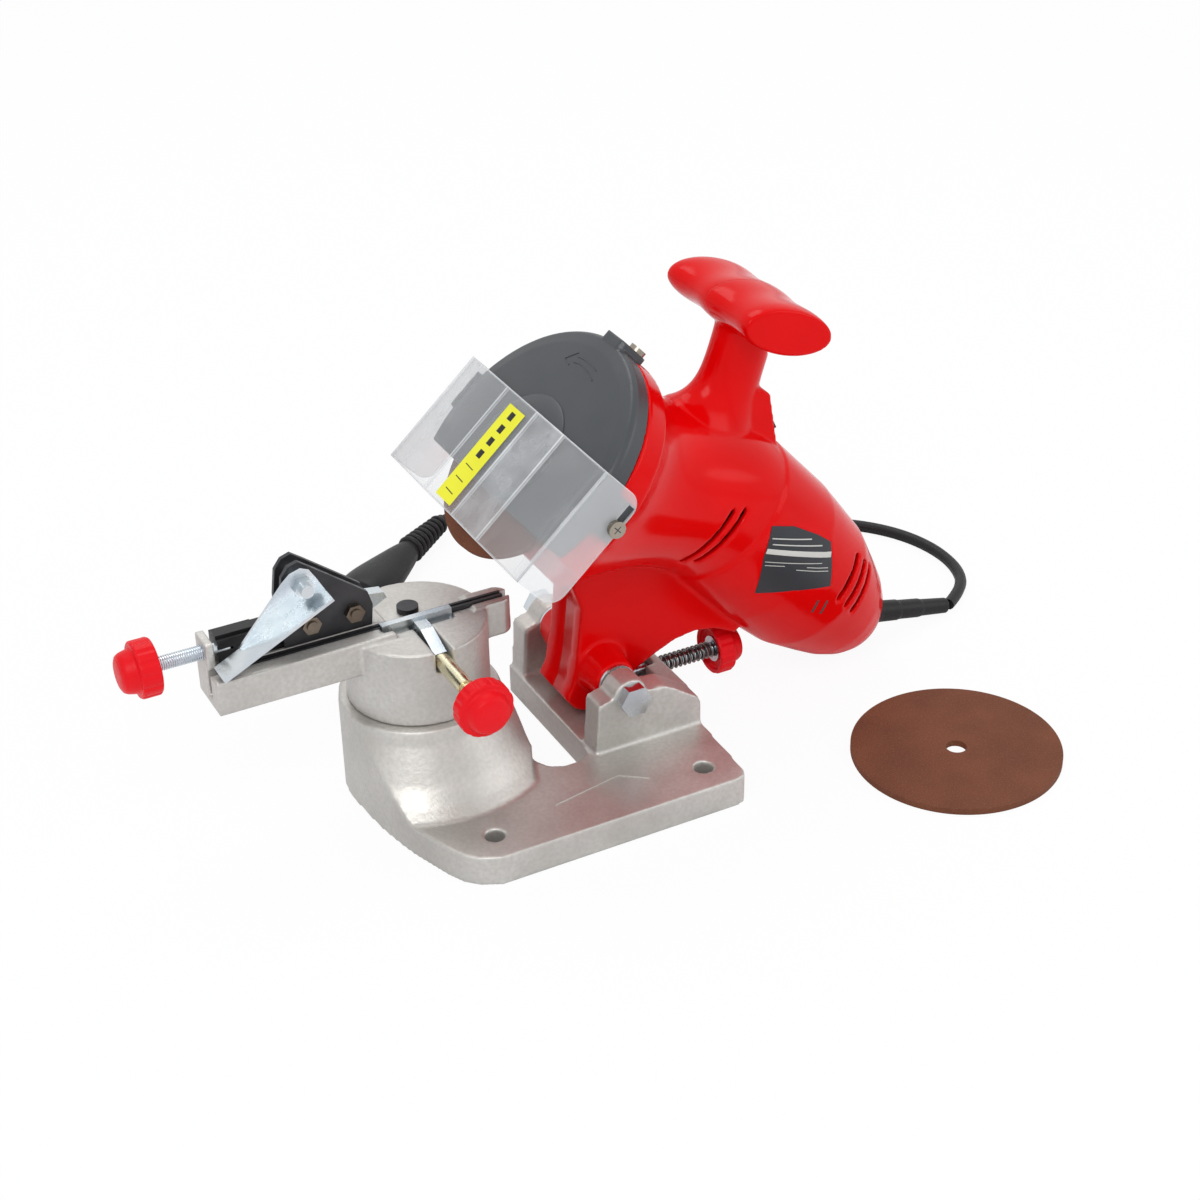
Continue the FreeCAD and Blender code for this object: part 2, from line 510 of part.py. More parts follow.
slots = []
for hand, start in (("near", -70), ("far", 22)):
    for i, (u, n) in enumerate(((41, -77), (45, -83))):
        slot = doc.addObject("Part::Box", "vent_%s%d" % (hand, i))
        slot.Length = 34
        slot.Width = 48
        slot.Height = 2.6
        put(slot, (u - 33, start, n - 4), ((0, 1, 0), -6))
        slots.append(slot)
    for i in range(3):
        slots.append(box(
            "rear_%s%d" % (hand, i), ("motor_u + 2", start, -168 - 7.5 * i),
            ("motor_u + 26", start + 48, -165 - 7.5 * i)))

relief_turn = ((0, 1, 0), 144.009)
relief_root = (36.64, -211.2)
screw_spots = [(-66, -104), (84, -56), (-42, -84), (62, -56), (20, -199), (58, -199)]
screw_ways = []
screw_parts = []
for i, (u, n) in enumerate(screw_spots):
    screw_ways.append(rod("screw_well%d" % i, 3.9, (u, 10, n), "60", to_y))
    screw_ways.append(rod("screw_bore%d" % i, "1.8", (u, -10.3, n), "22", to_y))
    screw_parts.append(rod("screw_rod%d" % i, "1.8", (u, -10, n), "21", to_y))
    screw_parts.append(rod("screw_cap%d" % i, 3.6, (u, 10, n), "2.6", to_y))

face_turn = ((0, 1, 0), 122.84)
switch_room = box("switch_room", (-9, -7, -12), (9, 7, 4))
put_switch = spot(("switch_u", 0, "switch_n"), *face_turn)
switch_room.setExpression("Placement", put_switch + "*" + spot((-9, -7, -12)))
tab_cuts = [
    box("tab_room_near", (-8, "-ring_r - 5", -14), (16, "-ring_r + 2", 0)),
    box("tab_room_far", (-8, "ring_r - 2", -14), (16, "ring_r + 5", 0)),
    box("tab_room_top", ("ring_r - 2", -10, -12), ("ring_r + 8", 10, 0))]
head_ways = [
    rod("front_room", "ring_r - 3.3", (0, 0, -11), "12"),
    rod("seat_a", 13, (0, 0, -22), "8"),
    rod("way_a", 8, (0, 0, -25), "15"),
    rod("seat_b", 9.5, (0, 0, -58), "9"),
    rod("seat_m", 11, ("motor_u", 0, -60), "11"),
    rod("way_m", 7, ("motor_u", 0, -63), "15"),
    rod("seat_r", 9.5, ("motor_u", 0, -203), "12"),
    rod("relief_way", 6.4, (relief_root[0], 0, relief_root[1]), "24", relief_turn),
    box("brush_near_way", ("motor_u - 4.2", -28, -173.6), ("motor_u + 4.2", -12, -164.4)),
    box("brush_far_way", ("motor_u - 4.2", 12, -173.6), ("motor_u + 4.2", 28, -164.4)),
    rod("head_pivot_way", "pivot_r + run_gap", ("pivot_u", -40, "pivot_n"), "80", to_y),
    rod("spring_room", "pivot_r + 3", ("pivot_u", -9, "pivot_n"), "18", to_y),
    rod("tab_bore_near", 1.8, ("tab_u", "-ring_r - 1", "tab_n"), "13", to_y),
    rod("tab_bore_far", 1.8, ("tab_u", "ring_r - 12", "tab_n"), "13", to_y),
    rod("tab_bore_top", 1.8, ("ring_r - 12", 0, "top_tab_n"), "13", to_x)]
plate_room = common("plate_room", plate_skin, plate_area)
head_all = cut(
    "head_all", head_raw, rooms, plate_room, switch_room, *tab_cuts, *head_ways, *slots, *screw_ways)
near_side = box("near_side", (-200, -100, -300), (200, 0, 100))
far_side = box("far_side", (-200, 0, -300), (200, 100, 100))
node("housing_near", common("half_near", head_all, near_side), True)
node("housing_far", common("half_far", head_all, far_side), True)
node("rating_plate", rating, True)
node("housing_screws", fuse("screw_set", *screw_parts), True)

# Guard and visor
cup = spin("cup", [
    ("guard_r", -1.7), ("guard_r", 6), (62, 8.4), (56, 9.6), (30, 11.2), ("0", 12), ("0", 9.5), (30, 8.7),
    (55, 7.1), (60, 5.8), ("guard_r - guard_t", 4.5), ("guard_r - guard_t", -1.7)])
tabs = []
tab_holes = []
for hand, low, high in (("near", "-ring_r - 0.7", "-ring_r + 1.9"), ("far", "ring_r - 1.9", "ring_r + 0.7")):
    tabs.append(box("tab_" + hand, (-6, low, -12), (14, high, 9)))
tabs.append(common(
    "tab_top", box("tab_top_block", ("ring_r - 1.7", -8.5, -10), ("ring_r + 2.5", 8.5, 9)),
    rod("tab_top_round", 10.5, ("ring_r - 4", 0, 0.5), "9", to_x)))
tab_holes.append(rod("tab_hole_near", "2.1", ("tab_u", "-ring_r - 2", "tab_n"), "8", to_y))
tab_holes.append(rod("tab_hole_far", "2.1", ("tab_u", "ring_r - 6", "tab_n"), "8", to_y))
tab_holes.append(rod("tab_hole_top", "2.1", ("ring_r - 4", 0, "top_tab_n"), "10", to_x))
mouth = box("mouth", (-90, -90, -20), (-23.4, 90, 30))
node("guard_cover", cut("guard", fuse("guard_raw", cup, *tabs), mouth, *tab_holes), True)
screws = []
for hand, at, head_at, turn in (
        ("near", ("tab_u", "-ring_r - 2.4", "tab_n"), ("tab_u", "-ring_r - 2.4", "tab_n"), to_y),
        ("far", ("tab_u", "ring_r + 2.4", "tab_n"), ("tab_u", "ring_r + 2.4", "tab_n"), to_near),
        ("top", ("ring_r + 2.5", 0, "top_tab_n"), ("ring_r + 2.5", 0, "top_tab_n"), ((0, 1, 0), -90))):
    screws.append(rod("guard_screw_rod_" + hand, 1.8, at, "12", turn))
    back = ((1, 0, 0), 90) if hand == "near" else to_y if hand == "far" else to_x
    screws.append(rod("guard_screw_head_" + hand, 4, head_at, "2.4", back))
node("guard_screws", fuse("guard_screw_set", *screws), True)
outer = [("-visor_half - visor_t", -11), ("-visor_half - visor_t", 14.9), (-27.5, 16), (0, 14.5),
         (27.5, 16), ("visor_half + visor_t", 14.9), ("visor_half + visor_t", -11)]
inner = [("visor_half", -11), ("visor_half", "14.8 - visor_t"), (27.5, "16 - visor_t"), (0, "14.5 - visor_t"),
         (-27.5, "16 - visor_t"), ("-visor_half", "14.8 - visor_t"), ("-visor_half", -11)]
visor_sheet = prism("visor_sheet", outer + inner, "60", (-42, 0, 0), along_u)
visor_slots = [
    box("visor_slot", ("tab_u - 2.2", -80, "tab_n - 2.2"), ("tab_u + 11.4", 80, "tab_n + 2.2"))]
node("visor", cut("visor_cut", visor_sheet, *visor_slots), True)

# Drive
node("grinding_wheel", cut(
    "wheel",
    rod("wheel_disc", "wheel_r", (0, 0, "-wheel_t / 2"), "wheel_t"),
    rod("wheel_bore", "arbor_r", (0, 0, "-wheel_t"), "2 * wheel_t")), True)
node("flange_inner", cut(
    "back_flange",
    rod("back_flange_disc", 18, (0, 0, "-wheel_t / 2 - 3"), "3"),
    rod("back_flange_bore", "arbor_r", (0, 0, -8), "10")), True)
node("flange_outer", cut(
    "front_flange",
    rod("front_flange_disc", 16, (0, 0, "wheel_t / 2"), "2.4"),
    rod("front_flange_bore", "arbor_r", (0, 0, 0), "8")), True)
node("arbor_nut", cut(
    "arbor_hex",
    hexagon("arbor_hex_raw", 8, (0, 0, "wheel_t / 2 + 2.4"), "4"),
    rod("arbor_hex_bore", "arbor_r", (0, 0, 0), "12")), True)
node("arbor_shaft", fuse(
    "arbor",
    rod("arbor_main", "arbor_r", (0, 0, -49), "57.6"),
    rod("arbor_rear", "arbor_rear_r", (0, 0, -58), "10"),
    rod("arbor_collar", 7, (0, 0, -10), "10 - wheel_t / 2 - 3"),
    rod("arbor_shoulder", 7.4, (0, 0, -35.5), "8")), True)
node("spur_gear", cut(
    "gear",
    rod("gear_disc", "gear_r", (0, 0, -44), "8"),
    rod("gear_bore", "arbor_r", (0, 0, -46), "12")), True)
node("arbor_bearings", cut(
    "arbor_races",
    fuse("arbor_races_raw", rod("race_a", 13, (0, 0, -22), "8"), rod("race_b", 9.5, (0, 0, -57.5), "5.5")),
    rod("race_a_bore", "arbor_r + run_gap", (0, 0, -23), "10"),
    rod("race_b_bore", "arbor_rear_r + run_gap", (0, 0, -59), "10")), True)
node("motor_shaft", fuse(
    "shaft",
    rod("shaft_rod", "motor_r", ("motor_u", 0, -202.5), "167.5"),
    rod("pinion", "pinion_r", ("motor_u", 0, -45), "10")), True)
node("motor_bearings", cut(
    "motor_races",
    fuse(
        "motor_races_raw", rod("race_m", 11, ("motor_u", 0, -60), "7"),
        rod("race_r", 9.5, ("motor_u", 0, -202), "7")),
    rod("race_m_bore", "motor_r + run_gap", ("motor_u", 0, -210), "170")), True)
node("armature_core", cut(
    "core",
    rod("core_disc", "core_r", ("motor_u", 0, -148), "44"),
    rod("core_bore", "motor_r", ("motor_u", 0, -150), "50")), True)
node("commutator", cut(
    "bars",
    rod("bars_disc", 12, ("motor_u", 0, -178), "18"),
    rod("bars_bore", "motor_r", ("motor_u", 0, -180), "25")), True)
node("cooling_fan", cut(
    "fan",
    fuse(
        "fan_raw", rod("fan_disc", 29, ("motor_u", 0, -92), "2"), rod("fan_hub", 8, ("motor_u", 0, -92), "12"),
        *[box("fan_blade%d" % i, ("motor_u - 28" if i == 1 else "motor_u - 0.8", "-28" if i == 0 else "-0.8", -91),
              ("motor_u + 28" if i == 1 else "motor_u + 0.8", "28" if i == 0 else "0.8", -82)) for i in range(2)]),
    rod("fan_bore", "motor_r", ("motor_u", 0, -95), "20")), True)
node("stator", cut(
    "stator_ring",
    rod("stator_disc", "stator_r", ("motor_u", 0, -150), "46"),
    rod("stator_bore", "core_r + 0.7", ("motor_u", 0, -152), "50")), True)
node("carbon_brushes", fuse(
    "brushes",
    box("brush_near", ("motor_u - 4", -27.7, -173.4), ("motor_u + 4", -12.3, -164.6)),
    box("brush_far", ("motor_u - 4", 12.3, -173.4), ("motor_u + 4", 27.7, -164.6))), True)

# Switch, in a frame on the sloping face behind the neck
switch_case = cut(
    "switch_case", box("switch_block", (-9, -7, -12), (9, 7, 0.6)),
    box("switch_well", (-7.2, -5.2, -6), (7.2, 5.2, 2)),
    rod("rocker_pin_way", "1.2 + run_gap", (0, -6.3, -1), "12.6", to_y))
switch_case.setExpression("Placement", put_switch)
node("switch_body", switch_case, True)
rocker = fuse(
    "rocker",
    side("rocker_cap", [(-6.2, -4), (6.2, -4), (6.4, 0.6), (5.9, 3), (0, 1.4), (-5.9, 1.8), (-6.4, 0.6)], -4.8, 4.8),
    rod("rocker_pin", 1.2, (0, -6.2, -1), "12.4", to_y))
rocker.setExpression("Placement", put_switch)
node("switch_rocker", rocker, True)

# Strain relief, cord and plug
relief = spin("relief", [
    ("0", "0"), (8, "0"), (8, 1), (6.4, 1), (6.4, 21), (5.6, 25), (5.4, 36), (5, 37), (4.9, 50), (4.4, 52),
    (4, 68.2), ("0", 68.2)], (relief_root[0], 0, relief_root[1]), relief_turn)
node("strain_relief", relief, True)

base_spare = cut(
    "spare", rod("spare_disc", "wheel_r", ("spare_x", "spare_y", 0), "wheel_t"),
    rod("spare_bore", "arbor_r", ("spare_x", "spare_y", -1), "wheel_t + 2"))
node("spare_wheel", base_spare)

doc.recompute()


# Straight runs joined by tangent arcs through the hand-placed corners.
def rounded_path(corners):
    points = [FreeCAD.Vector(*c) for c in corners]
    pieces = []
    radii = []
    start = points[0]
    for i in range(1, len(points) - 1):
        before = points[i - 1] - points[i]
        after = points[i + 1] - points[i]
        turn = math.pi - before.getAngle(after)
        reach = 0.45 * min(before.Length, after.Length)
        radii.append(reach / math.tan(turn / 2))
        back = FreeCAD.Vector(before).normalize()
        on = FreeCAD.Vector(after).normalize()
        enter = points[i] + back * reach
        leave = points[i] + on * reach
        middle = FreeCAD.Vector(back + on).normalize()
        centre = points[i] + middle * (radii[-1] / math.cos(turn / 2))
        arc_mid = centre - middle * radii[-1]
        pieces.append(Part.LineSegment(start, enter).toShape())
        pieces.append(Part.Arc(enter, arc_mid, leave).toShape())
        start = leave
    pieces.append(Part.LineSegment(start, points[-1]).toShape())
    return Part.Wire(pieces), radii


def tube(name, corners, r):
    path, radii = rounded_path(corners)
    first = FreeCAD.Vector(*corners[1]) - FreeCAD.Vector(*corners[0])
    section = Part.Wire([Part.makeCircle(r, FreeCAD.Vector(*corners[0]), first)])
    solid = path.makePipeShell([section], True, False)
    item = doc.addObject("Part::Feature", name)
    item.Shape = solid
    expected = math.pi * r * r * path.Length
    print(name, "radii", [round(v, 1) for v in radii], "least", round(min(radii), 1), "of", 5 * 2 * r)
    print(name, "length", round(path.Length, 1), "volume share", round(solid.Volume / expected, 4))
    return item


cord_r = sizes["cord_r"]
lie = cord_r + 0.1
relief_end = (212.9, 0.3, 3.9)
head_lead = [
    relief_end, (229.3, 10.4, lie + 0.4), (239.5, 29, lie), (241, 52.5, lie), (234, 76, lie), (219, 96, lie),
    (200, 109, lie), (184, 116, lie), (166, 118.5, lie)]
plug_lead = [
    (120.5, 166, lie + 6), (119.5, 190, lie + 2.4), (103.5, 208.8, lie), (78, 214.5, lie + 0.4), (48, 212.5, 5.8),
    (18.5, 205.7, 8.6)]
head_tube = tube("head_tube", head_lead, cord_r)
plug_tube = tube("plug_tube", plug_lead, cord_r)
node("power_cord", fuse("cord_pair", head_tube, plug_tube))
rings = []
for layer in range(2):
    for i in range(3):
        ring_one = doc.addObject("Part::Torus", "turn%d_%d" % (layer, i))
        bind(ring_one, "Radius1", "coil_r - %d * 2 * (cord_r - 0.1)" % i)
        bind(ring_one, "Radius2", "cord_r")
        rings.append(put(ring_one, ("coil_x", "coil_y", "cord_r + 0.1 + %d * 2 * (cord_r - 0.1)" % layer)))
node("cord_coil", fuse("coil_turns", *rings))
node("cord_tie", cut(
    "tie",
    box("tie_block", ("coil_x - 3", "coil_y + coil_r - 6 * cord_r", 0.05),
        ("coil_x + 3", "coil_y + coil_r + cord_r + 1.6", "4 * cord_r + 1.4")),
    box("tie_room", ("coil_x - 4", "coil_y + coil_r - 5.6 * cord_r", 0.0),
        ("coil_x + 4", "coil_y + coil_r + cord_r + 0.3", "4 * cord_r + 0.3"))))
# The plug lies on its flat side; its own X runs from the cord to the pins.
plug_place = spot((16.7, 204.8, 8.9), (0, 0, 1), 215.7)
plug_sections = []
for i, (at, wide, thick) in enumerate(((39, 7, 6.3), (54, 11, 7.4), (68, 14, 8.2), (84, 14.6, 8.6), (88, 13.6, 8))):
    rim = doc.addObject("Part::Ellipse", "plug_rim%d" % i)
    bind(rim, "MajorRadius", wide)
    bind(rim, "MinorRadius", thick)
    rim.setExpression("Placement", spot((at, 0, 0), *along_u))
    plug_sections.append(rim)
plug_loft = doc.addObject("Part::Loft", "plug_loft")
plug_loft.Sections = plug_sections
plug_loft.Solid = True
plug_tail = taper("plug_tail", "cord_r + 0.9", 6.4, (0, 0, 0), "40", to_x)
pin_ways = [rod("pin_way%d" % i, 2.4, (76, y, 0), "30", to_x) for i, y in enumerate((-9.5, 9.5))]
plug = cut("plug", fuse("plug_raw", plug_loft, plug_tail), *pin_ways)
plug.setExpression("Placement", plug_place)
node("plug_body", plug)
pins = [rod("pin%d" % i, 2.4, (76, y, 0), "31", to_x) for i, y in enumerate((-9.5, 9.5))]
pin_pair = fuse("pin_pair", *pins)
pin_pair.setExpression("Placement", plug_place)
node("plug_pins", pin_pair)

doc.recompute()
os.makedirs("parts", exist_ok=True)
for item in doc.Objects:
    if "Invalid" in item.State or "Error" in item.State:
        print("state", item.Label, item.State)
for name, item in nodes.items():
    shape = item.Shape
    if shape.isNull() or not shape.isValid():
        print("bad shape", name, shape.isNull())
        continue
    box_of = shape.BoundBox
    print("%-20s solids %d vol %.0f x %.1f..%.1f y %.1f..%.1f z %.1f..%.1f" % (
        name, len(shape.Solids), shape.Volume, box_of.XMin, box_of.XMax, box_of.YMin, box_of.YMax,
        box_of.ZMin, box_of.ZMax))
    shape.exportStep("parts/%s.step" % name)
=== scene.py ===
import json
import math
import bmesh
import bpy
from mathutils import Matrix, Vector


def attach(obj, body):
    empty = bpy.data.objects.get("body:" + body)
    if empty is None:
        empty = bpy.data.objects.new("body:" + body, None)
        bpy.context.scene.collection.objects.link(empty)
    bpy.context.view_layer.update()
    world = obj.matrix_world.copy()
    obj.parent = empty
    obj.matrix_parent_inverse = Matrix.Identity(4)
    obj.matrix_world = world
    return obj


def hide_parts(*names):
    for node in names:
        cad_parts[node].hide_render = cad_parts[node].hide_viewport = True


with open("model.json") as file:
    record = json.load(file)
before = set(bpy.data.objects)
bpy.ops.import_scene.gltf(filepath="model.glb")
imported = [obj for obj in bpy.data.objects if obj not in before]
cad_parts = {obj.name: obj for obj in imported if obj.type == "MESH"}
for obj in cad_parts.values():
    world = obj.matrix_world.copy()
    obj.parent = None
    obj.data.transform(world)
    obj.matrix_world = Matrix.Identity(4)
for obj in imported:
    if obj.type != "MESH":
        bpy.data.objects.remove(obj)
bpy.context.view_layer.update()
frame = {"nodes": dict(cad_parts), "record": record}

nodes = frame["nodes"]
sceneData = bpy.context.scene
milli = 0.001  # sizes below are written in millimetres
headTilt = math.radians(42)  # the wheel plane's slope, whose centre is the head details' origin
wheelCentre = (-24.9, 0, 150.9)


def mm(x, y, z):
    return Vector((x, y, z)) * milli


# Camera
camera = {"place": (-412.67, -813.99, 620.83), "heading": 0.48385, "down": 0.54577, "roll": -0.01618,
          "focal": 2269.16 / 1200, "shiftX": -13.4 / 1200, "shiftY": 5.7 / 1200}


def makeCamera(s):
    h, d, r = s["heading"], s["down"], s["roll"]
    forward = Vector((math.sin(h) * math.cos(d), math.cos(h) * math.cos(d), -math.sin(d)))
    flatRight = Vector((math.cos(h), -math.sin(h), 0))
    flatUp = flatRight.cross(forward)
    right = math.cos(r) * flatRight + math.sin(r) * flatUp
    up = -math.sin(r) * flatRight + math.cos(r) * flatUp
    data = bpy.data.cameras.new("mainCamera")
    data.sensor_width = 36
    data.sensor_fit = "HORIZONTAL"
    data.lens = 36 * s["focal"]
    data.shift_x = s["shiftX"]
    data.shift_y = s["shiftY"]
    data.clip_start = 0.05
    item = bpy.data.objects.new("mainCamera", data)
    sceneData.collection.objects.link(item)
    turn = Matrix((right, up, -forward)).transposed().to_4x4()
    item.matrix_world = Matrix.Translation(mm(*s["place"])) @ turn
    sceneData.camera = item


makeCamera(camera)
print("camera set")

# Materials


def startMaterial(name):
    mat = bpy.data.materials.new(name)
    mat.use_nodes = True
    tree = mat.node_tree
    shader = tree.nodes["Principled BSDF"]
    where = tree.nodes.new("ShaderNodeTexCoord").outputs["Object"]
    return mat, tree, shader, where


def noiseAt(tree, where, scale, detail):
    noise = tree.nodes.new("ShaderNodeTexNoise")
    noise.inputs["Scale"].default_value = scale
    noise.inputs["Detail"].default_value = detail
    tree.links.new(where, noise.inputs["Vector"])
    return noise.outputs["Fac"]


def remap(tree, fac, low, high, fromLow=0.35, fromHigh=0.65):
    node = tree.nodes.new("ShaderNodeMapRange")
    node.inputs["From Min"].default_value = fromLow
    node.inputs["From Max"].default_value = fromHigh
    node.inputs["To Min"].default_value = low
    node.inputs["To Max"].default_value = high
    tree.links.new(fac, node.inputs["Value"])
    return node.outputs["Result"]


def mathNode(tree, operation, first, second):
    node = tree.nodes.new("ShaderNodeMath")
    node.operation = operation
    for socket, value in zip(node.inputs, (first, second)):
        if isinstance(value, (int, float)):
            socket.default_value = value
        else:
            tree.links.new(value, socket)
    return node.outputs["Value"]


def mixColours(tree, fac, first, second):
    node = tree.nodes.new("ShaderNodeMix")
    node.data_type = "RGBA"
    tree.links.new(fac, node.inputs["Factor"])
    for socket, value in ((node.inputs[6], first), (node.inputs[7], second)):
        if isinstance(value, (tuple, list)):
            socket.default_value = (*value, 1.0)
        else:
            tree.links.new(value, socket)
    return node.outputs[2]


def addBump(tree, shader, heights, strength, distance):
    bump = tree.nodes.new("ShaderNodeBump")
    bump.inputs["Strength"].default_value = strength
    bump.inputs["Distance"].default_value = distance
    tree.links.new(heights, bump.inputs["Height"])
    tree.links.new(bump.outputs["Normal"], shader.inputs["Normal"])


def castMetal(s):
    mat, tree, shader, where = startMaterial(s["name"])
    broad = noiseAt(tree, where, s["broad"], 4)
    fine = noiseAt(tree, where, s["fine"], 5)
    tone = mixColours(tree, remap(tree, broad, 0, 1), s["dark"], s["light"])
    speck = mixColours(tree, remap(tree, fine, 0, 0.35), tone, s["pit"])
    tree.links.new(speck, shader.inputs["Base Color"])
    tree.links.new(remap(tree, broad, s["rough"][0], s["rough"][1]), shader.inputs["Roughness"])
    shader.inputs["Metallic"].default_value = s["metal"]
    addBump(tree, shader, fine, s["bump"], 0.0004)
    return mat


def mouldedPlastic(s):
    mat, tree, shader, where = startMaterial(s["name"])
    broad = noiseAt(tree, where, 30, 2)
    fine = noiseAt(tree, where, s.get("grain", 900), 3)
    tone = mixColours(tree, remap(tree, broad, 0, 1), s["colour"], s.get("colourB", s["colour"]))
    tree.links.new(tone, shader.inputs["Base Color"])
    tree.links.new(remap(tree, fine, s["rough"][0], s["rough"][1]), shader.inputs["Roughness"])
    shader.inputs["Specular IOR Level"].default_value = s.get("specular", 0.5)
    addBump(tree, shader, fine, s.get("bump", 0.05), 0.0002)
    return mat


def platedSteel(s):
    mat, tree, shader, where = startMaterial(s["name"])
    brushed = noiseAt(tree, where, s.get("grain", 260), 3)
    broad = noiseAt(tree, where, 45, 3)
    tone = mixColours(tree, remap(tree, broad, 0, 1), s["colour"], s["colourB"])
    tree.links.new(tone, shader.inputs["Base Color"])
    tree.links.new(remap(tree, brushed, s["rough"][0], s["rough"][1]), shader.inputs["Roughness"])
    shader.inputs["Metallic"].default_value = s.get("metal", 1.0)
    addBump(tree, shader, brushed, s.get("bump", 0.08), 0.0002)
    return mat


# A soft line where the value meets the centre, one in its middle and nought at its width.
def lineMask(tree, value, centre, width):
    offset = mathNode(tree, "ABSOLUTE", mathNode(tree, "SUBTRACT", value, centre), 0.0)
    return remap(tree, offset, 1.0, 0.0, 0.0, width)


# A clear sheet whose colour and alpha carry painted light: a painted sheen over one panel and painted highlights along
# its cut edges and folds.
def clearSheet(s):
    mat, tree, shader, where = startMaterial(s["name"])
    facing = tree.nodes.new("ShaderNodeLayerWeight")
    facing.inputs["Blend"].default_value = s["blend"]
    # One noise sets the scuffed roughness and also breaks up the painted sheen.
    scratchSheenNoise = noiseAt(tree, where, s["scratchSheenScale"], 4)
    tree.links.new(remap(tree, scratchSheenNoise, s["rough"][0], s["rough"][1]), shader.inputs["Roughness"])
    across = tree.nodes.new("ShaderNodeSeparateXYZ")
    tree.links.new(where, across.inputs["Vector"])
    # Painted sheen: the panel between the middle fold and the next fold on the near side turns paler and less clear, as
    # a reflection would make it.
    sheenPanel = mathNode(tree, "MULTIPLY",
                     remap(tree, across.outputs["Y"], 0, 1, s["sheenPanel"][0] - 0.001, s["sheenPanel"][0]),
                     remap(tree, across.outputs["Y"], 1, 0, s["sheenPanel"][1], s["sheenPanel"][1] + 0.001))
    paintedSheen = mathNode(tree, "MULTIPLY", sheenPanel, remap(tree, scratchSheenNoise, s["paintedSheen"][0], s["paintedSheen"][1]))
    glance = remap(tree, facing.outputs["Facing"], s["alpha"][0], s["alpha"][1], 0, 1)
    along = mathNode(tree, "ADD", mathNode(tree, "MULTIPLY", across.outputs["X"], math.cos(headTilt)),
                     mathNode(tree, "MULTIPLY", across.outputs["Z"], math.sin(headTilt)))
    centre = (wheelCentre[0] * math.cos(headTilt) + wheelCentre[2] * math.sin(headTilt)) * milli
    reach = mathNode(tree, "ABSOLUTE", across.outputs["Y"], 0.0)
    # Painted highlights: pale, less clear lines along the two cut edges and along the folds, where light catches the
    # sheet.
    lines = lineMask(tree, along, centre + s["edges"][0], s["line"])
    for value, place in [(along, centre + s["edges"][1])] + [(reach, fold) for fold in s["folds"]]:
        lines = mathNode(tree, "MAXIMUM", lines, lineMask(tree, value, place, s["line"]))
    cover = mathNode(tree, "ADD", glance, paintedSheen)
    tree.links.new(mathNode(tree, "ADD", cover, mathNode(tree, "MULTIPLY", lines, s["highlightCover"])),
                   shader.inputs["Alpha"])
    tone = mixColours(tree, lines, s["colour"], s["highlightColour"])
    tree.links.new(tone, shader.inputs["Base Color"])
    shader.inputs["Specular IOR Level"].default_value = s["specular"]
    return mat


def boundGrit(s):
    mat, tree, shader, where = startMaterial(s["name"])
    grit = noiseAt(tree, where, s["grit"], 2)
    cloud = noiseAt(tree, where, s["cloud"], 4)
    tone = mixColours(tree, remap(tree, cloud, 0, 1), s["dark"], s["light"])
    flecked = mixColours(tree, remap(tree, grit, 0, 0.5, 0.5, 0.75), tone, s["fleck"])
    tree.links.new(flecked, shader.inputs["Base Color"])
    shader.inputs["Roughness"].default_value = s["rough"]
    addBump(tree, shader, grit, s["bump"], s["depth"])
    return mat


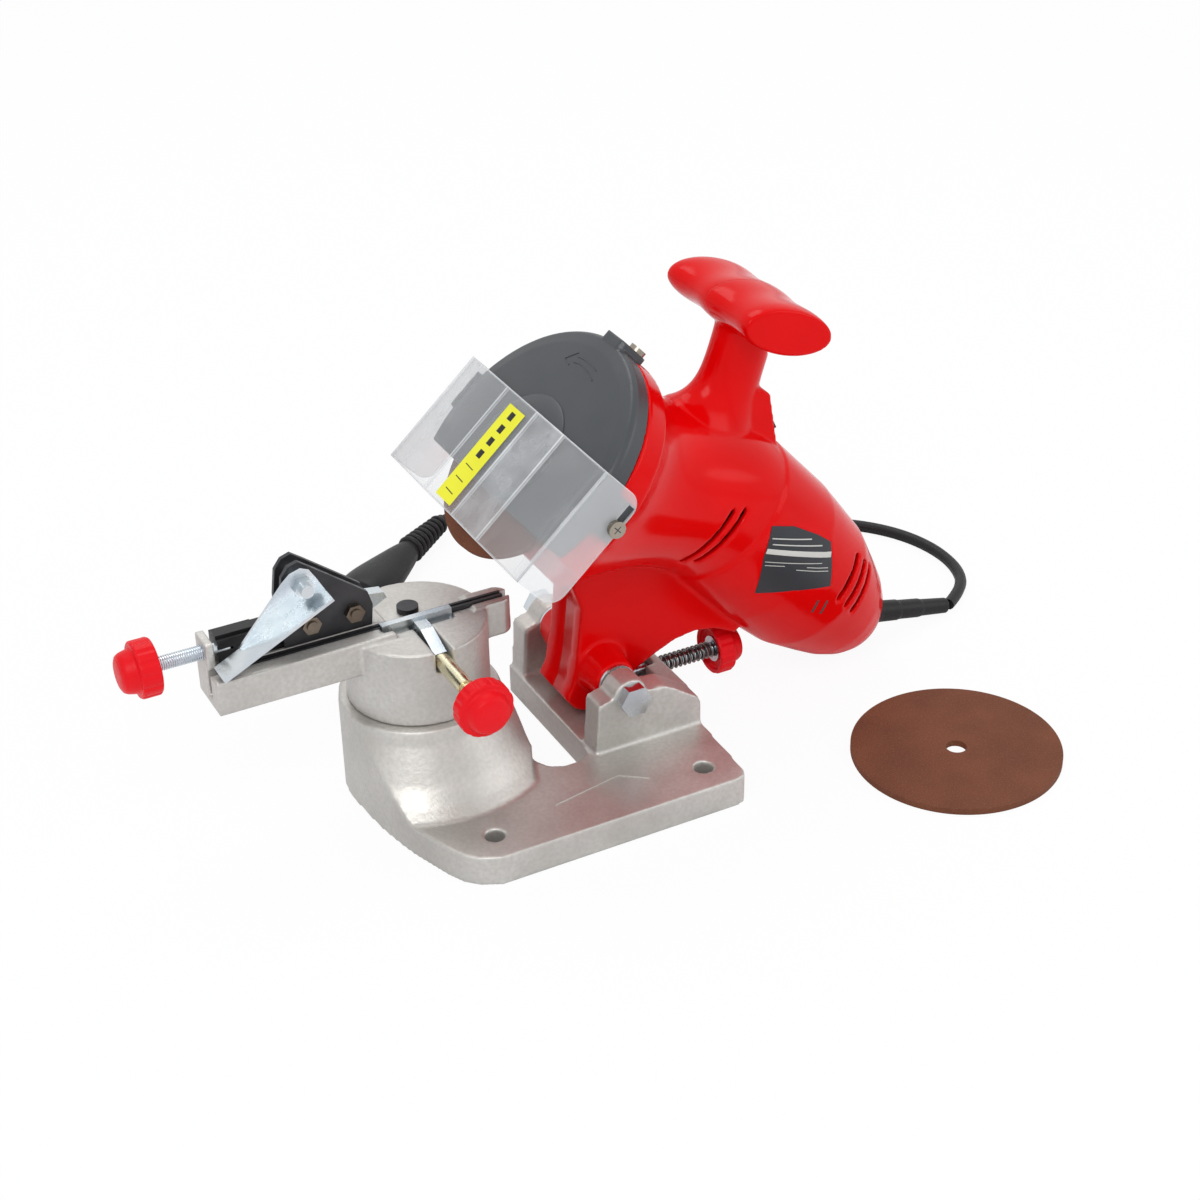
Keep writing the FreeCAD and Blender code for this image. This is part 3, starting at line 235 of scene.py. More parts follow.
finishes = {
    "cast_aluminium": castMetal({
        "name": "castAluminium", "broad": 28, "fine": 520, "dark": (0.50, 0.485, 0.455), "light": (0.62, 0.605, 0.575),
        "pit": (0.40, 0.385, 0.36), "rough": (0.36, 0.52), "metal": 0.65, "bump": 0.35}),
    "red_shell": mouldedPlastic({
        "name": "redShell", "colour": (0.74, 0.0012, 0.0020), "colourB": (0.70, 0.0010, 0.0016), "rough": (0.13, 0.17),
        "bump": 0.004, "specular": 0.11}),
    "red_knob": mouldedPlastic({
        "name": "redKnob", "colour": (0.80, 0.006, 0.012), "colourB": (0.75, 0.005, 0.011), "rough": (0.34, 0.44),
        "bump": 0.05, "specular": 0.16}),
    "guard_black": mouldedPlastic({
        "name": "guardSlate", "colour": (0.040, 0.045, 0.050), "colourB": (0.048, 0.053, 0.059), "rough": (0.34, 0.42),
        "bump": 0.04, "grain": 1400}),
    # The clear visor carries a painted sheen on one panel and painted highlights along its edges and folds.
    "clear_visor": clearSheet({
        "name": "clearVisor", "colour": (0.80, 0.82, 0.83), "rough": (0.03, 0.10), "alpha": (0.07, 0.42), "blend": 0.25,
        "sheenPanel": (-0.0275, 0.0), "paintedSheen": (0.06, 0.22), "edges": (-0.042, 0.018), "folds": (0.0655, 0.0275, 0.0),
        "line": 0.0011, "highlightCover": 0.45, "highlightColour": (0.93, 0.95, 0.96), "scratchSheenScale": 60, "specular": 0.5}),
    "abrasive": boundGrit({
        "name": "brownAbrasive", "grit": 1500, "dark": (0.125, 0.034, 0.011), "light": (0.160, 0.046, 0.016),
        "fleck": (0.25, 0.10, 0.05), "cloud": 40, "rough": 0.82, "bump": 0.35, "depth": 0.0003}),
    "zinc_steel": platedSteel({
        "name": "brightZinc", "colour": (0.52, 0.58, 0.64), "colourB": (0.64, 0.68, 0.70), "rough": (0.20, 0.30),
        "bump": 0.02, "grain": 120}),
    "bronze_steel": platedSteel({
        "name": "bronzeSteel", "colour": (0.17, 0.14, 0.11), "colourB": (0.24, 0.20, 0.155), "rough": (0.24, 0.36)}),
    "dark_nickel": platedSteel({
        "name": "darkNickel", "colour": (0.30, 0.27, 0.22), "colourB": (0.36, 0.32, 0.26), "rough": (0.20, 0.30)}),
    "yellow_zinc": platedSteel({
        "name": "yellowZinc", "colour": (0.80, 0.74, 0.50), "colourB": (0.72, 0.68, 0.50), "rough": (0.20, 0.32)}),
    "dark_steel": platedSteel({
        "name": "darkSteel", "colour": (0.040, 0.041, 0.045), "colourB": (0.065, 0.066, 0.070), "rough": (0.36, 0.52),
        "metal": 0.6}),
    "spring_steel": platedSteel({
        "name": "springSteel", "colour": (0.20, 0.19, 0.18), "colourB": (0.30, 0.28, 0.26), "rough": (0.28, 0.40)}),
    "black_plastic": mouldedPlastic({
        "name": "blackPlastic", "colour": (0.008, 0.008, 0.009), "colourB": (0.012, 0.012, 0.013),
        "rough": (0.34, 0.46), "specular": 0.3}),
    "cord_rubber": mouldedPlastic({
        "name": "cordRubber", "colour": (0.007, 0.007, 0.008), "colourB": (0.010, 0.010, 0.011), "rough": (0.38, 0.50),
        "specular": 0.28}),
    "bearing_steel": platedSteel({
        "name": "bearingSteel", "colour": (0.72, 0.72, 0.74), "colourB": (0.66, 0.66, 0.68), "rough": (0.14, 0.24)}),
    "copper": platedSteel({
        "name": "copperBars", "colour": (0.72, 0.34, 0.18), "colourB": (0.62, 0.28, 0.14), "rough": (0.22, 0.34)}),
    "carbon": mouldedPlastic({
        "name": "carbonBlock", "colour": (0.03, 0.03, 0.03), "colourB": (0.05, 0.05, 0.05), "rough": (0.5, 0.6)}),
    "plate_grey": mouldedPlastic({
        "name": "plateGrey", "colour": (0.030, 0.033, 0.038), "colourB": (0.036, 0.039, 0.045), "rough": (0.40, 0.48),
        "specular": 0.3}),
    "motor_steel": platedSteel({
        "name": "motorSteel", "colour": (0.24, 0.24, 0.25), "colourB": (0.32, 0.31, 0.30), "rough": (0.34, 0.5)}),
}
markPale = mouldedPlastic({
    "name": "markPale", "colour": (0.62, 0.62, 0.58), "colourB": (0.58, 0.58, 0.54), "rough": (0.4, 0.5)})
stripYellow = mouldedPlastic({
    "name": "stripYellow", "colour": (0.86, 0.84, 0.02), "colourB": (0.82, 0.80, 0.02), "rough": (0.35, 0.45)})


def paint(item, finish):
    item.data.materials.clear()
    item.data.materials.append(finish)


slotOf = {item["node"]: item["material_slot"] for item in frame["record"]["subparts"]}
# Small fasteners whose plating differs from their material slot's.
darker = {"stop_bolts": "bronze_steel", "stop_nuts": "bronze_steel", "guard_screws": "dark_nickel"}
for nodeName, item in nodes.items():
    paint(item, finishes[darker.get(nodeName, slotOf[nodeName])])
print("materials ready", len(finishes))

# Cord
cord = {"radius": 3.1, "coilX": 168.0, "coilY": 166.0, "outer": 47.5, "step": 6.2, "perTurn": 16, "turns": 6.25,
        "inward": 3.0, "outward": 3.25, "climbFrom": 2.9, "climbTurns": 0.45}
lie = cord["radius"] + 0.1
headLead = [
    (212.9, 0.3, 3.9), (229.3, 10.4, lie + 0.4), (239.5, 29, lie), (241, 52.5, lie), (234, 76, lie), (219, 96, lie),
    (200, 109, lie), (184, 116, lie)]
plugLead = [
    (119.5, 190, lie + 2.4), (103.5, 208.8, lie), (78, 214.5, lie + 0.4), (48, 212.5, 5.8), (18.5, 205.7, 8.6)]


# The coil winds inward on the floor, climbs onto itself and winds outward again.
def coilPoints(s):
    points = []
    for i in range(1, int(s["turns"] * s["perTurn"]) + 1):
        t = i / s["perTurn"]
        inward = min(t, s["inward"])
        outward = max(t - s["outward"], 0.0)
        radius = s["outer"] - s["step"] * (inward - outward)
        rise = min(max((t - s["climbFrom"]) / s["climbTurns"], 0.0), 1.0)
        angle = -math.pi / 2 - 2 * math.pi * t
        points.append((
            s["coilX"] + radius * math.cos(angle), s["coilY"] + radius * math.sin(angle), lie + rise * s["step"]))
    return points


def makeCord(s):
    route = headLead + coilPoints(s) + plugLead
    curve = bpy.data.curves.new("powerLead", "CURVE")
    curve.dimensions = "3D"
    curve.bevel_depth = s["radius"] * milli
    curve.bevel_resolution = 4
    curve.resolution_u = 8
    curve.use_fill_caps = True
    spline = curve.splines.new("NURBS")
    spline.points.add(len(route) - 1)
    for point, place in zip(spline.points, route):
        point.co = (*mm(*place), 1)
    spline.order_u = 3
    spline.use_endpoint_u = True
    item = bpy.data.objects.new("powerLead", curve)
    sceneData.collection.objects.link(item)
    curve.materials.append(finishes["cord_rubber"])
    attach(item, "base")
    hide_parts("power_cord", "cord_coil")
    bare = curve.copy()
    bare.bevel_depth = 0
    probe = bpy.data.objects.new("probe", bare)
    line = bpy.data.meshes.new_from_object(probe)
    length = sum(
        (line.vertices[e.vertices[0]].co - line.vertices[e.vertices[1]].co).length for e in line.edges)
    bpy.data.objects.remove(probe)
    bpy.data.curves.remove(bare)
    bpy.data.meshes.remove(line)
    print("cord length", round(length, 3))
    return item, length


leadCord, cordLength = makeCord(cord)

# Softened castings and mouldings
merge = {"reach": 0.00001, "seamHalf": 0.000004, "seamReach": 0.00003}


def copyNodes(names, dropSeam=False):
    work = bmesh.new()
    for name in names:
        work.from_mesh(nodes[name].data)
    bmesh.ops.remove_doubles(work, verts=work.verts, dist=merge["reach"])
    if dropSeam:
        seam = [f for f in work.faces if all(abs(v.co.y) < merge["seamHalf"] for v in f.verts)]
        bmesh.ops.delete(work, geom=seam, context="FACES")
        bmesh.ops.remove_doubles(work, verts=work.verts, dist=merge["seamReach"])
    return work


def meshObject(name, work, finish):
    data = bpy.data.meshes.new(name)
    work.to_mesh(data)
    work.free()
    item = bpy.data.objects.new(name, data)
    sceneData.collection.objects.link(item)
    data.materials.append(finishes[finish])
    return item


def applied(item):
    graph = bpy.context.evaluated_depsgraph_get()
    data = bpy.data.meshes.new_from_object(item.evaluated_get(graph))
    item.modifiers.clear()
    old = item.data
    item.data = data
    bpy.data.meshes.remove(old)
    data.polygons.foreach_set("use_smooth", [True] * len(data.polygons))
    data.update()
    return item


# Rebuilds a node's form as one even skin and rounds its edges, like a casting or a moulding.
def soften(item, voxel, passes, keep):
    remesh = item.modifiers.new("skin", "REMESH")
    remesh.mode = "VOXEL"
    remesh.voxel_size = voxel * milli
    smooth = item.modifiers.new("round", "SMOOTH")
    smooth.factor = 0.5
    smooth.iterations = passes
    thin = item.modifiers.new("thin", "DECIMATE")
    thin.ratio = keep
    return applied(item)


def softened(name, node, body, voxel, passes, keep):
    item = meshObject(name, copyNodes([node]), slotOf[node])
    soften(item, voxel, passes, keep)
    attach(item, body)
    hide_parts(node)
    print(name, len(item.data.polygons))
    return item


# Name, node, body, voxel size in mm, smoothing passes and the share of faces kept.
softPieces = [
    ("castBase", "base_casting", "base", 1.0, 6, 0.6),
    ("castVise", "vise_casting", "vise", 0.7, 4, 0.6),
    ("guardShell", "guard_cover", "head", 0.6, 4, 0.6),
    ("clampGrip", "clamp_knob", "clamp", 0.4, 5, 0.7),
    ("adjusterGrip", "adjuster_knob", "adjuster", 0.4, 5, 0.7),
    ("depthGrip", "depth_stop_knob", "depth_screw", 0.4, 5, 0.7),
    ("lockGrip", "vise_lock_knob", "lock", 0.6, 4, 0.7),
    ("reliefSleeve", "strain_relief", "head", 0.4, 4, 0.7),
    ("plugShell", "plug_body", "base", 0.5, 5, 0.7),
]
softMade = {row[0]: softened(*row) for row in softPieces}
shell = {"voxel": 0.85, "passes": 9, "keep": 0.55, "setBack": 0.00006, "cutReach": 0.000001, "flat": 0.999}


# Both halves are softened as one form and then cut apart at the seam.
def makeShells(s):
    whole = meshObject("shellWhole", copyNodes(["housing_near", "housing_far"], True), "red_shell")
    soften(whole, s["voxel"], s["passes"], s["keep"])
    for name, node, sign in (("shellNear", "housing_near", 1), ("shellFar", "housing_far", -1)):
        work = bmesh.new()
        work.from_mesh(whole.data)
        cutAt = Vector((0, -s["setBack"] * sign, 0))
        geometry = work.verts[:] + work.edges[:] + work.faces[:]
        bmesh.ops.bisect_plane(
            work, geom=geometry, dist=s["cutReach"], plane_co=cutAt, plane_no=(0, sign, 0), clear_outer=True)
        rims = [e for e in work.edges if e.is_boundary]
        bmesh.ops.triangle_fill(work, use_beauty=True, use_dissolve=False, edges=rims, normal=(0, sign, 0))
        bmesh.ops.recalc_face_normals(work, faces=work.faces)
        item = meshObject(name, work, "red_shell")
        item.data.polygons.foreach_set("use_smooth", [abs(p.normal.y) < s["flat"] for p in item.data.polygons])
        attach(item, "head")
        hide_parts(node)
        print(name, len(item.data.polygons))
    old = whole.data
    bpy.data.objects.remove(whole)
    bpy.data.meshes.remove(old)


makeShells(shell)
print("castings and shells softened")

# Machined pieces keep their own mesh, and a small bevel of this width in mm breaks their edges.
bevelled = {
    "clamp_jaw": 0.4, "stop_slider": 0.4, "stop_lever": 0.25, "chain_pawl": 0.3, "pivot_bolt": 0.4, "pivot_nut": 0.4,
    "rail_screw": 0.4, "clamp_sleeve": 0.3, "stop_nuts": 0.3, "stop_bolts": 0.3, "lever_pin": 0.3,
    "switch_body": 0.3, "switch_rocker": 0.4, "stop_plate_near": 0.25, "stop_plate_far": 0.25, "rating_plate": 0.15}
for nodeName, width in bevelled.items():
    edge = nodes[nodeName].modifiers.new("edge", "BEVEL")
    edge.width = width * milli
    edge.segments = 2
    edge.limit_method = "ANGLE"
    edge.angle_limit = math.radians(40)
    edge.use_clamp_overlap = True


# One tree lays a row of beads: the crests of the threads and the ribs of the plug come from it.
def makeRingTree():
    tree = bpy.data.node_groups.new("ringRow", "GeometryNodeTree")
    kinds = (("Count", "Int"), ("Start", "Vector"), ("Step", "Vector"), ("Turn", "Vector"), ("First", "Float"),
             ("Last", "Float"), ("Bead", "Float"), ("Finish", "Material"))
    sockets = {}
    for label, kind in kinds:
        made = tree.interface.new_socket(label, in_out="INPUT", socket_type="NodeSocket" + kind)
        sockets[label] = made.identifier
    tree.interface.new_socket("Geometry", in_out="OUTPUT", socket_type="NodeSocketGeometry")
    source = tree.nodes.new("NodeGroupInput").outputs
    line = tree.nodes.new("GeometryNodeMeshLine")
    line.mode = "OFFSET"
    tree.links.new(source["Count"], line.inputs["Count"])
    tree.links.new(source["Start"], line.inputs["Start Location"])
    tree.links.new(source["Step"], line.inputs["Offset"])
    hoop = tree.nodes.new("GeometryNodeCurvePrimitiveCircle")
    hoop.inputs["Resolution"].default_value = 36
    hoop.inputs["Radius"].default_value = 1.0
    bead = tree.nodes.new("GeometryNodeCurvePrimitiveCircle")
    bead.inputs["Resolution"].default_value = 8
    share = tree.nodes.new("ShaderNodeMath")
    share.operation = "DIVIDE"
    tree.links.new(source["Bead"], share.inputs[0])
    tree.links.new(source["First"], share.inputs[1])
    tree.links.new(share.outputs[0], bead.inputs["Radius"])
    ring = tree.nodes.new("GeometryNodeCurveToMesh")
    tree.links.new(hoop.outputs["Curve"], ring.inputs["Curve"])
    tree.links.new(bead.outputs["Curve"], ring.inputs["Profile Curve"])
    along = tree.nodes.new("GeometryNodeInputIndex")
    last = tree.nodes.new("ShaderNodeMath")
    last.operation = "SUBTRACT"
    last.inputs[1].default_value = 1.0
    tree.links.new(source["Count"], last.inputs[0])
    size = tree.nodes.new("ShaderNodeMapRange")
    tree.links.new(along.outputs["Index"], size.inputs["Value"])
    tree.links.new(last.outputs[0], size.inputs["From Max"])
    tree.links.new(source["First"], size.inputs["To Min"])
    tree.links.new(source["Last"], size.inputs["To Max"])
    spread = tree.nodes.new("GeometryNodeInstanceOnPoints")
    tree.links.new(line.outputs["Mesh"], spread.inputs["Points"])
    tree.links.new(ring.outputs["Mesh"], spread.inputs["Instance"])
    tree.links.new(source["Turn"], spread.inputs["Rotation"])
    tree.links.new(size.outputs["Result"], spread.inputs["Scale"])
    real = tree.nodes.new("GeometryNodeRealizeInstances")
    tree.links.new(spread.outputs["Instances"], real.inputs["Geometry"])
    paint = tree.nodes.new("GeometryNodeSetMaterial")
    tree.links.new(real.outputs["Geometry"], paint.inputs["Geometry"])
    tree.links.new(source["Finish"], paint.inputs["Material"])
    sink = tree.nodes.new("NodeGroupOutput")
    tree.links.new(paint.outputs["Geometry"], sink.inputs["Geometry"])
    return tree, sockets


ringTree, ringSockets = makeRingTree()
ringRows = [
    {"name": "adjusterThread", "body": "adjuster", "finish": "zinc_steel", "count": 25, "start": (-205.0, 4.0, 96.5),
     "end": (-181.0, 4.0, 96.5), "first": 3.0, "last": 3.0, "bead": 0.34},
    {"name": "depthThread", "body": "depth_screw", "finish": "dark_steel", "count": 32, "start": (38.4, 0.0, 21.5),
     "end": (69.0, 0.0, 21.5), "first": 2.95, "last": 2.95, "bead": 0.3},
    {"name": "clampThread", "body": "clamp", "finish": "zinc_steel", "count": 6, "start": (-86.4, -67.6, 80.0),
     "end": (-86.4, -62.6, 80.0), "first": 3.0, "last": 3.0, "bead": 0.32},
    {"name": "plugRibs", "body": "base", "finish": "cord_rubber", "count": 8, "start": (12.6, 201.9, 8.9),
     "end": (-11.7, 184.4, 8.9), "first": 4.3, "last": 6.0, "bead": 1.25},
]


def ringRow(s):
    start, end = mm(*s["start"]), mm(*s["end"])
    step = (end - start) / (s["count"] - 1)
    turn = (end - start).to_track_quat("Z", "X").to_euler()
    item = bpy.data.objects.new(s["name"], bpy.data.meshes.new(s["name"] + "Seed"))
    sceneData.collection.objects.link(item)
    row = item.modifiers.new("row", "NODES")
    row.node_group = ringTree
    values = {"Count": s["count"], "Start": start, "Step": step, "Turn": turn, "First": s["first"] * milli,
              "Last": s["last"] * milli, "Bead": s["bead"] * milli, "Finish": finishes[s["finish"]]}
    for label, value in values.items():
        row[ringSockets[label]] = value
    applied(item)
    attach(item, s["body"])
    print(s["name"], len(item.data.polygons))


for ringSettings in ringRows:
    ringRow(ringSettings)
print("threads and ribs made")

# Head details; local X runs along the wheel plane and local Z along the wheel axis.
headPlace = Matrix.Translation(mm(*wheelCentre)) @ Matrix.Rotation(-headTilt, 4, "Y")
quarter = math.radians(90)


# A raised line of even width through the points, whose foot and crest follow the height function.
def bandPiece(name, points, width, low, high, place, finish, body):
    work = bmesh.new()
    count = len(points)
    rings = []
    for i, point in enumerate(points):
        before = Vector(points[max(i - 1, 0)])
        after = Vector(points[min(i + 1, count - 1)])
        along = (after - before).normalized()
        side = Vector((-along.y, along.x)) * width / 2
        corners = []
        for sign, rise in ((-1, low), (1, low), (0.6, high), (-0.6, high)):
            x, y = point[0] + side.x * sign, point[1] + side.y * sign
            corners.append(work.verts.new((x, y, rise(x, y))))
        rings.append(corners)
    for first, second in zip(rings, rings[1:]):
        for k in range(4):
            work.faces.new((first[k], first[(k + 1) % 4], second[(k + 1) % 4], second[k]))
    work.faces.new(rings[0][::-1])
    work.faces.new(rings[-1])
    bmesh.ops.recalc_face_normals(work, faces=work.faces)
    for v in work.verts:
        v.co = place @ (v.co * milli)
    item = meshObject(name, work, finish)
    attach(item, body)
    return item


# Rows of (reach, height) read at any reach between them, and held past the last.
def between(rows, reach):
    for (r0, h0), (r1, h1) in zip(rows, rows[1:]):
        if reach <= r1:
            return h0 + (h1 - h0) * (reach - r0) / (r1 - r0)
    return rows[-1][1]


guardDome = [(0, 12.0), (30, 11.2), (56, 9.6), (62, 8.4)]


def domeHeight(offset):
    return lambda x, y: between(guardDome, math.hypot(x, y)) + offset


# A curve through three points.
def arc(first, middle, last, steps=8):
    points = []
    for i in range(steps + 1):
        t = i / steps
        a, b, c = (1 - t) * (1 - 2 * t), 4 * t * (1 - t), t * (2 * t - 1)
        points.append((a * first[0] + b * middle[0] + c * last[0], a * first[1] + b * middle[1] + c * last[1]))
    return points


arrow = {"width": 0.7, "lines": [
    arc((48.3, 9.4), (49.1, 1.7), (48.3, -7.7)), arc((45.1, 8.8), (46.2, 1.0), (43.8, -10.5)),
    [(49.9, 11.0), (46.9, 13.8), (44.0, 16.3)], [(44.0, 16.3), (43.4, 13.4), (43.0, 10.5)]],
    "foot": -0.6, "crest": 0.3}
for i, line in enumerate(arrow["lines"]):
    bandPiece("arrowLine%d" % (i + 1), line, arrow["width"], domeHeight(arrow["foot"]), domeHeight(arrow["crest"]),
              headPlace, "guard_black", "head")


# A flat plate from closed outlines, the first the rim and the others holes, pushed along local Z.
def plateMesh(outlines, depth):
    curve = bpy.data.curves.new("plateOutline", "CURVE")
    curve.dimensions = "2D"
    curve.fill_mode = "BOTH"
    curve.extrude = depth / 2
    for outline in outlines:
        spline = curve.splines.new("POLY")
        spline.points.add(len(outline) - 1)
        spline.use_cyclic_u = True
        for point, (x, y) in zip(spline.points, outline):
            point.co = (x, y, 0, 1)
    probe = bpy.data.objects.new("plateProbe", curve)
    data = bpy.data.meshes.new_from_object(probe)
    bpy.data.objects.remove(probe)
    bpy.data.curves.remove(curve)
    return data


# A quarter round about a centre, from the start angle on.
def corner(cx, cy, radius, start, steps=8):
    return [(cx + radius * math.cos(math.radians(start + 90 * k / steps)),
             cy + radius * math.sin(math.radians(start + 90 * k / steps))) for k in range(steps + 1)]


visor = {"low": -42.0, "high": 18.0, "top": 14.2, "foot": -11.0, "half": 65.0, "thick": 1.2, "round": 8.0,
         "slot": (-0.4, 13.2, -10.2, -5.8),
         "section": [(-66.2, 14.9), (-27.5, 16), (0, 14.5), (27.5, 16), (66.2, 14.9),
                     (66.2, 13.5), (27.5, 14.8), (0, 13.3), (-27.5, 14.8), (-66.2, 13.5)]}


# A folded clear sheet: a ridged face and two side flanges with rounded corners and a slot each.
def makeVisor(s):
    r = s["round"]
    rim = [(s["high"], s["top"]), (s["low"], s["top"])] + corner(s["low"] + r, s["foot"] + r, r, 180)
    rim += corner(s["high"] - r, s["foot"] + r, r, 270)
    slotLow, slotHigh, slotFoot, slotTop = s["slot"]
    hole = [(slotLow, slotFoot), (slotLow, slotTop), (slotHigh, slotTop), (slotHigh, slotFoot)]
    work = bmesh.new()
    middle = s["half"] + s["thick"] / 2
    for y in (-middle, middle):
        data = plateMesh([rim, hole], s["thick"])
        data.transform(Matrix.Translation((0, y, 0)) @ Matrix.Rotation(quarter, 4, "X"))
        work.from_mesh(data)
        bpy.data.meshes.remove(data)
    data = plateMesh([s["section"]], s["high"] - s["low"])
    turn = Matrix(((0, 0, 1, (s["high"] + s["low"]) / 2), (1, 0, 0, 0), (0, 1, 0, 0), (0, 0, 0, 1)))
    data.transform(turn)
    work.from_mesh(data)
    bpy.data.meshes.remove(data)
    bmesh.ops.remove_doubles(work, verts=work.verts, dist=0.001)
    bmesh.ops.recalc_face_normals(work, faces=work.faces)
    for v in work.verts:
        v.co = headPlace @ (v.co * milli)
    item = meshObject("visorSheet", work, "clear_visor")
    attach(item, "visor")
    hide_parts("visor")
    print("visorSheet", len(item.data.polygons))


makeVisor(visor)
# The visor's outer face between its middle fold and the next one.
slant = {"valley": 14.5, "rise": 1.5, "reach": 27.5}


def visorHeight(offset):
    return lambda x, y: slant["valley"] + slant["rise"] * y / slant["reach"] + offset


# The yellow strip bears plain marks, four blocks and three thin lines, with no words or symbols.
strip = {"from": -39.3, "to": 12.9, "middle": 11.6, "width": 13.8, "foot": 0.03, "crest": 0.16,
         "blocks": (8.6, 1.4, -5.8, -13.0), "blockHalf": 2.0, "blockWidth": 4.4,
         "lines": (-20.5, -27.5, -34.5), "lineHalf": 3.4, "lineLean": 0.2, "lineWidth": 0.6,
         "markFoot": 0.1, "markCrest": 0.24}


def stripMark(name, points, width):
    bandPiece(name, points, width, visorHeight(strip["markFoot"]), visorHeight(strip["markCrest"]), headPlace,
              "black_plastic", "visor")


def makeStrip(s):
    middle = s["middle"]
    item = bandPiece("visorStrip", [(s["from"], middle), (s["to"], middle)], s["width"], visorHeight(s["foot"]),
                     visorHeight(s["crest"]), headPlace, "clear_visor", "visor")
    paint(item, stripYellow)
    for i, u in enumerate(s["blocks"]):
        stripMark("stripDot%d" % (i + 1), [(u - s["blockHalf"], middle), (u + s["blockHalf"], middle)],
                  s["blockWidth"])
    for i, u in enumerate(s["lines"]):
        points = [(u - s["lineLean"], middle - s["lineHalf"]), (u + s["lineLean"], middle + s["lineHalf"])]
        stripMark("stripBar%d" % (i + 1), points, s["lineWidth"])


makeStrip(strip)

# Details that follow the barrel's round side; x is along the wheel plane and y along the wheel axis.
sidePlace = headPlace @ Matrix.Rotation(quarter, 4, "X")
barrelMiddle = 39
barrelRims = [(100, 41.0), (140, 41.0), (150, 40.0), (174, 37.5), (190, 32.6), (194.5, 31.2), (204, 28.0), (213, 23.5)]


def barrelHeight(offset):
    return lambda x, y: math.sqrt(max(between(barrelRims, -y) ** 2 - (x - barrelMiddle) ** 2, 0)) + offset


def alongLine(first, last, steps):
    return [(first[0] + (last[0] - first[0]) * k / steps, first[1] + (last[1] - first[1]) * k / steps)
            for k in range(steps + 1)]


# The rating plate bears a pale bar and plain lines, with no letters or symbols.
plateMarks = [
    ((36.8, -107.3), (55.7, -143.9), 3.9), ((43.0, -105.0), (55.0, -127.2), 0.8), ((41.0, -107.4), (56.0, -135.5), 0.8),
    ((32.6, -111.2), (49.6, -140.7), 0.5), ((31.3, -112.8), (37.0, -122.2), 0.5), ((43.4, -133.9), (49.9, -146.2), 0.5),
    ((39.2, -129.4), (48.8, -147.6), 0.5)]
for i, (first, last, width) in enumerate(plateMarks):
    item = bandPiece("plateMark%d" % (i + 1), alongLine(first, last, 12), width, barrelHeight(-0.5),
                     barrelHeight(0.12), sidePlace, "plate_grey", "head")
    paint(item, markPale)
# Two short slots in the barrel, drawn as near-black bars barely proud of its skin: painted shade where the openings
# are.
slotShades = {"lines": [((35.3, -155.2), (28.8, -158.5)), ((38.0, -160.2), (31.0, -163.4))], "width": 1.9}
for i, (first, last) in enumerate(slotShades["lines"]):
    bandPiece("slotShade%d" % (i + 1), alongLine(first, last, 8), slotShades["width"], barrelHeight(-0.6),
              barrelHeight(0.04), sidePlace, "carbon", "head")

# A cast chevron on the base plate, whose top is 15 mm above the bench.
chevron = {"points": [(-53.0, -70.1), (-17.4, -63.6), (-5.7, -72.8)], "width": 1.6, "foot": 14.4, "crest": 15.5}
bandPiece("baseChevron", chevron["points"], chevron["width"], lambda x, y: chevron["foot"],
          lambda x, y: chevron["crest"], Matrix.Identity(4), "cast_aluminium", "base")


cross = {"half": 2.1, "width": 0.75, "foot": -0.2, "crest": 0.06, "step": 0.01}


# A cross cut in a screw's head, seen as two dark bars that stand a hair proud of it; their dark colour is painted shade
# in the recess.
def makeCross(name, at, axis, s):
    place = headPlace @ Matrix.Translation(mm(*at)) @ Matrix.Rotation(quarter, 4, axis)
    half = s["half"]
    for k, line in enumerate((((-half, 0), (half, 0)), ((0, -half), (0, half)))):
        bandPiece("%s%d" % (name, k + 1), line, s["width"], lambda x, y: s["foot"],
                  lambda x, y: s["crest"] + s["step"] * k, place, "dark_steel", "head")


makeCross("nearCross", (1.8, -68.6, -8), "X", cross)
makeCross("topCross", (68.7, 0, -6), "Y", cross)


# A turned solid from (radius, height) pairs, cut off at the guard's mouth.
def makeDisc(s):
    work = bmesh.new()
    rings = []
    for radius, height in s["profile"]:
        ring = []
        for k in range(s["facets"]):
            angle = 2 * math.pi * k / s["facets"]
            ring.append(work.verts.new((radius * math.cos(angle), radius * math.sin(angle), height)))
        rings.append(ring)
    for first, second in zip(rings, rings[1:]):
        for k in range(s["facets"]):
            j = (k + 1) % s["facets"]
            work.faces.new((first[k], first[j], second[j], second[k]))
    work.faces.new(rings[0][::-1])
    work.faces.new(rings[-1])
    geometry = work.verts[:] + work.edges[:] + work.faces[:]
    bmesh.ops.bisect_plane(work, geom=geometry, dist=0.0001, plane_co=(s["mouth"], 0, 0), plane_no=(-1, 0, 0),
                           clear_outer=True)
    bmesh.ops.holes_fill(work, edges=[e for e in work.edges if e.is_boundary])
    bmesh.ops.recalc_face_normals(work, faces=work.faces)
    for v in work.verts:
        v.co = headPlace @ (v.co * milli)
    item = meshObject(s["name"], work, "guard_black")
    item.data.polygons.foreach_set("use_smooth", [len(p.vertices) == 4 for p in item.data.polygons])
    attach(item, "head")


makeDisc({"name": "guardDisc", "facets": 72, "mouth": -22.9, "profile": [
    (27.2, 11.0), (27.2, 11.55), (26.6, 11.95), (18, 12.25), (6, 12.5), (0.5, 12.52)]})
print("head and base details made")

# Floor and lights
studio = {"floorTone": (0.94, 0.94, 0.94), "reach": 6.0, "skyTone": (0.95, 0.96, 1.0), "sky": 0.62, "glow": 0.93}


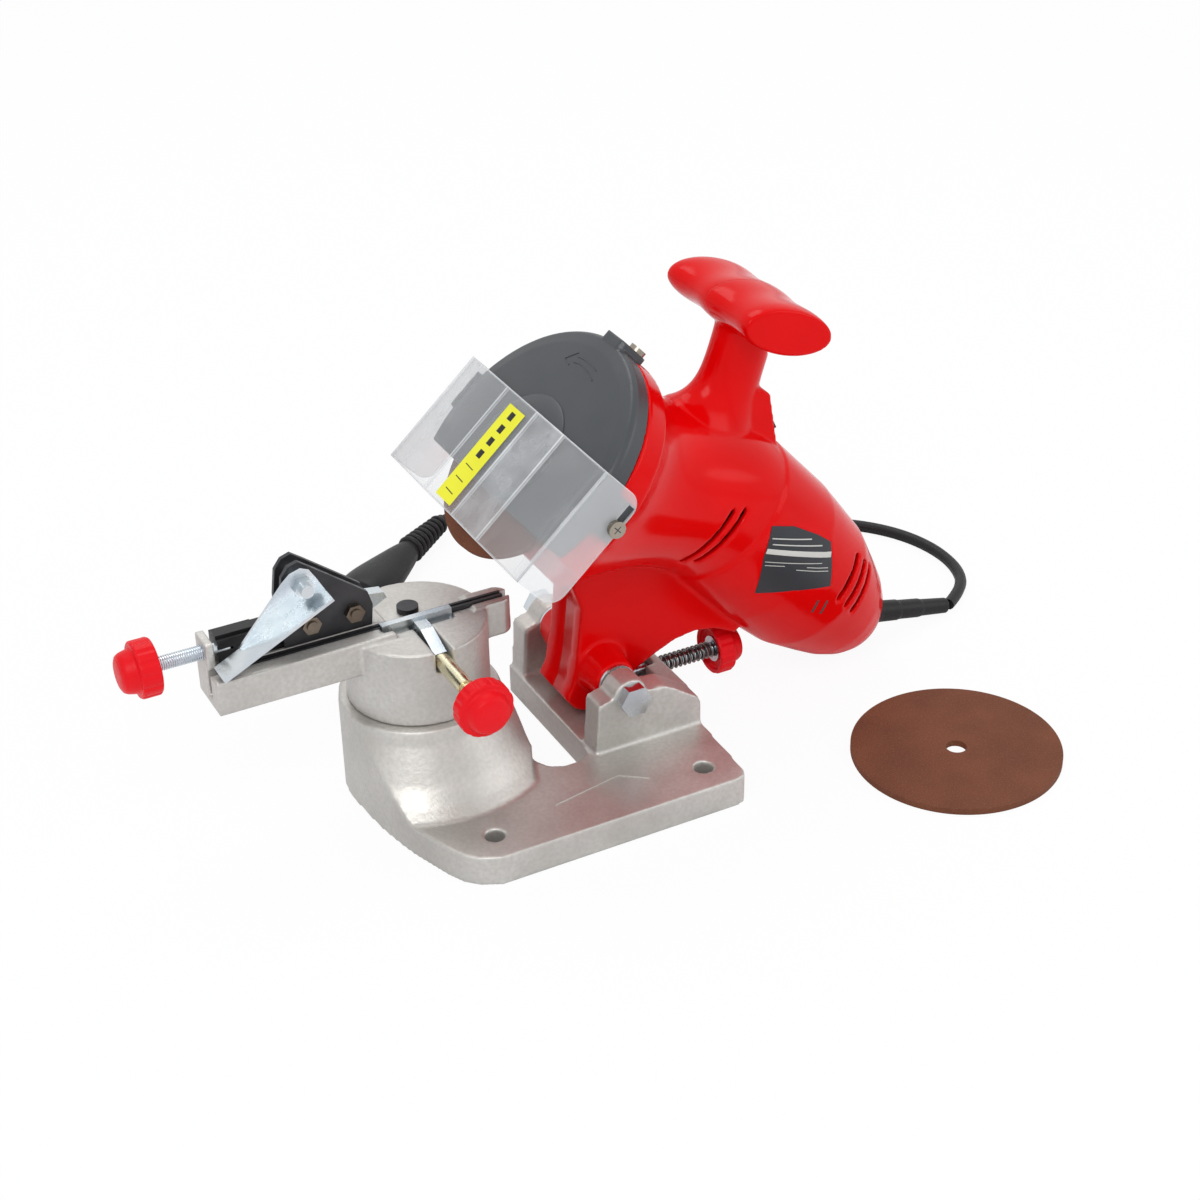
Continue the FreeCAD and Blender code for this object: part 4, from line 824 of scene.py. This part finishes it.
def makeFloor(s):
    data = bpy.data.meshes.new("studioFloor")
    reach = s["reach"]
    corners = [(-reach, -reach, 0), (reach, -reach, 0), (reach, reach, 0), (-reach, reach, 0)]
    data.from_pydata(corners, [], [(0, 1, 2, 3)])
    item = bpy.data.objects.new("studioFloor", data)
    sceneData.collection.objects.link(item)
    mat = bpy.data.materials.new("floorPaper")
    mat.use_nodes = True
    tree = mat.node_tree
    shader = tree.nodes["Principled BSDF"]
    shader.inputs["Base Color"].default_value = (*s["floorTone"], 1)
    shader.inputs["Roughness"].default_value = 0.9
    shader.inputs["Specular IOR Level"].default_value = 0.1
    glow = tree.nodes.new("ShaderNodeEmission")
    glow.inputs["Strength"].default_value = 1.0
    rays = tree.nodes.new("ShaderNodeLightPath")
    share = tree.nodes.new("ShaderNodeMath")
    share.operation = "MULTIPLY"
    share.inputs[1].default_value = s["glow"]
    tree.links.new(rays.outputs["Is Camera Ray"], share.inputs[0])
    mix = tree.nodes.new("ShaderNodeMixShader")
    tree.links.new(share.outputs[0], mix.inputs["Fac"])
    tree.links.new(shader.outputs["BSDF"], mix.inputs[1])
    tree.links.new(glow.outputs["Emission"], mix.inputs[2])
    tree.links.new(mix.outputs["Shader"], tree.nodes["Material Output"].inputs["Surface"])
    data.materials.append(mat)


# Plain soft light from all round, though the camera, glass and gloss see white.
def makeSky(s):
    world = bpy.data.worlds.new("studioSky")
    sceneData.world = world
    world.use_nodes = True
    tree = world.node_tree
    plain = tree.nodes["Background"]
    plain.inputs["Color"].default_value = (*s["skyTone"], 1)
    plain.inputs["Strength"].default_value = s["sky"]
    white = tree.nodes.new("ShaderNodeBackground")
    white.inputs["Color"].default_value = (1, 1, 1, 1)
    white.inputs["Strength"].default_value = 1.0
    rays = tree.nodes.new("ShaderNodeLightPath")
    first = tree.nodes.new("ShaderNodeMath")
    first.operation = "MAXIMUM"
    second = tree.nodes.new("ShaderNodeMath")
    second.operation = "MAXIMUM"
    tree.links.new(rays.outputs["Is Camera Ray"], first.inputs[0])
    tree.links.new(rays.outputs["Is Transmission Ray"], first.inputs[1])
    tree.links.new(first.outputs[0], second.inputs[0])
    tree.links.new(rays.outputs["Is Glossy Ray"], second.inputs[1])
    mix = tree.nodes.new("ShaderNodeMixShader")
    tree.links.new(second.outputs[0], mix.inputs["Fac"])
    tree.links.new(plain.outputs["Background"], mix.inputs[1])
    tree.links.new(white.outputs["Background"], mix.inputs[2])
    tree.links.new(mix.outputs["Shader"], tree.nodes["World Output"].inputs["Surface"])


# Name, place, aim, side in metres and power in watts.
lamps = [
    ("keySoft", (-0.9, -1.1, 1.6), (0, 0, 0.08), 0.9, 14),
    ("fillSoft", (1.3, -0.9, 0.9), (0, 0, 0.08), 1.0, 5),
    ("topSoft", (0.2, 0.9, 1.7), (0, 0, 0.1), 1.0, 8),
]


def makeLamp(name, place, aim, size, power):
    data = bpy.data.lights.new(name, "AREA")
    data.shape = "SQUARE"
    data.size = size
    data.energy = power
    item = bpy.data.objects.new(name, data)
    sceneData.collection.objects.link(item)
    item.location = place
    item.rotation_euler = (Vector(aim) - Vector(place)).to_track_quat("-Z", "Y").to_euler()


makeFloor(studio)
makeSky(studio)
for lamp in lamps:
    makeLamp(*lamp)
sceneData.view_settings.view_transform = "Standard"
print("studio ready")
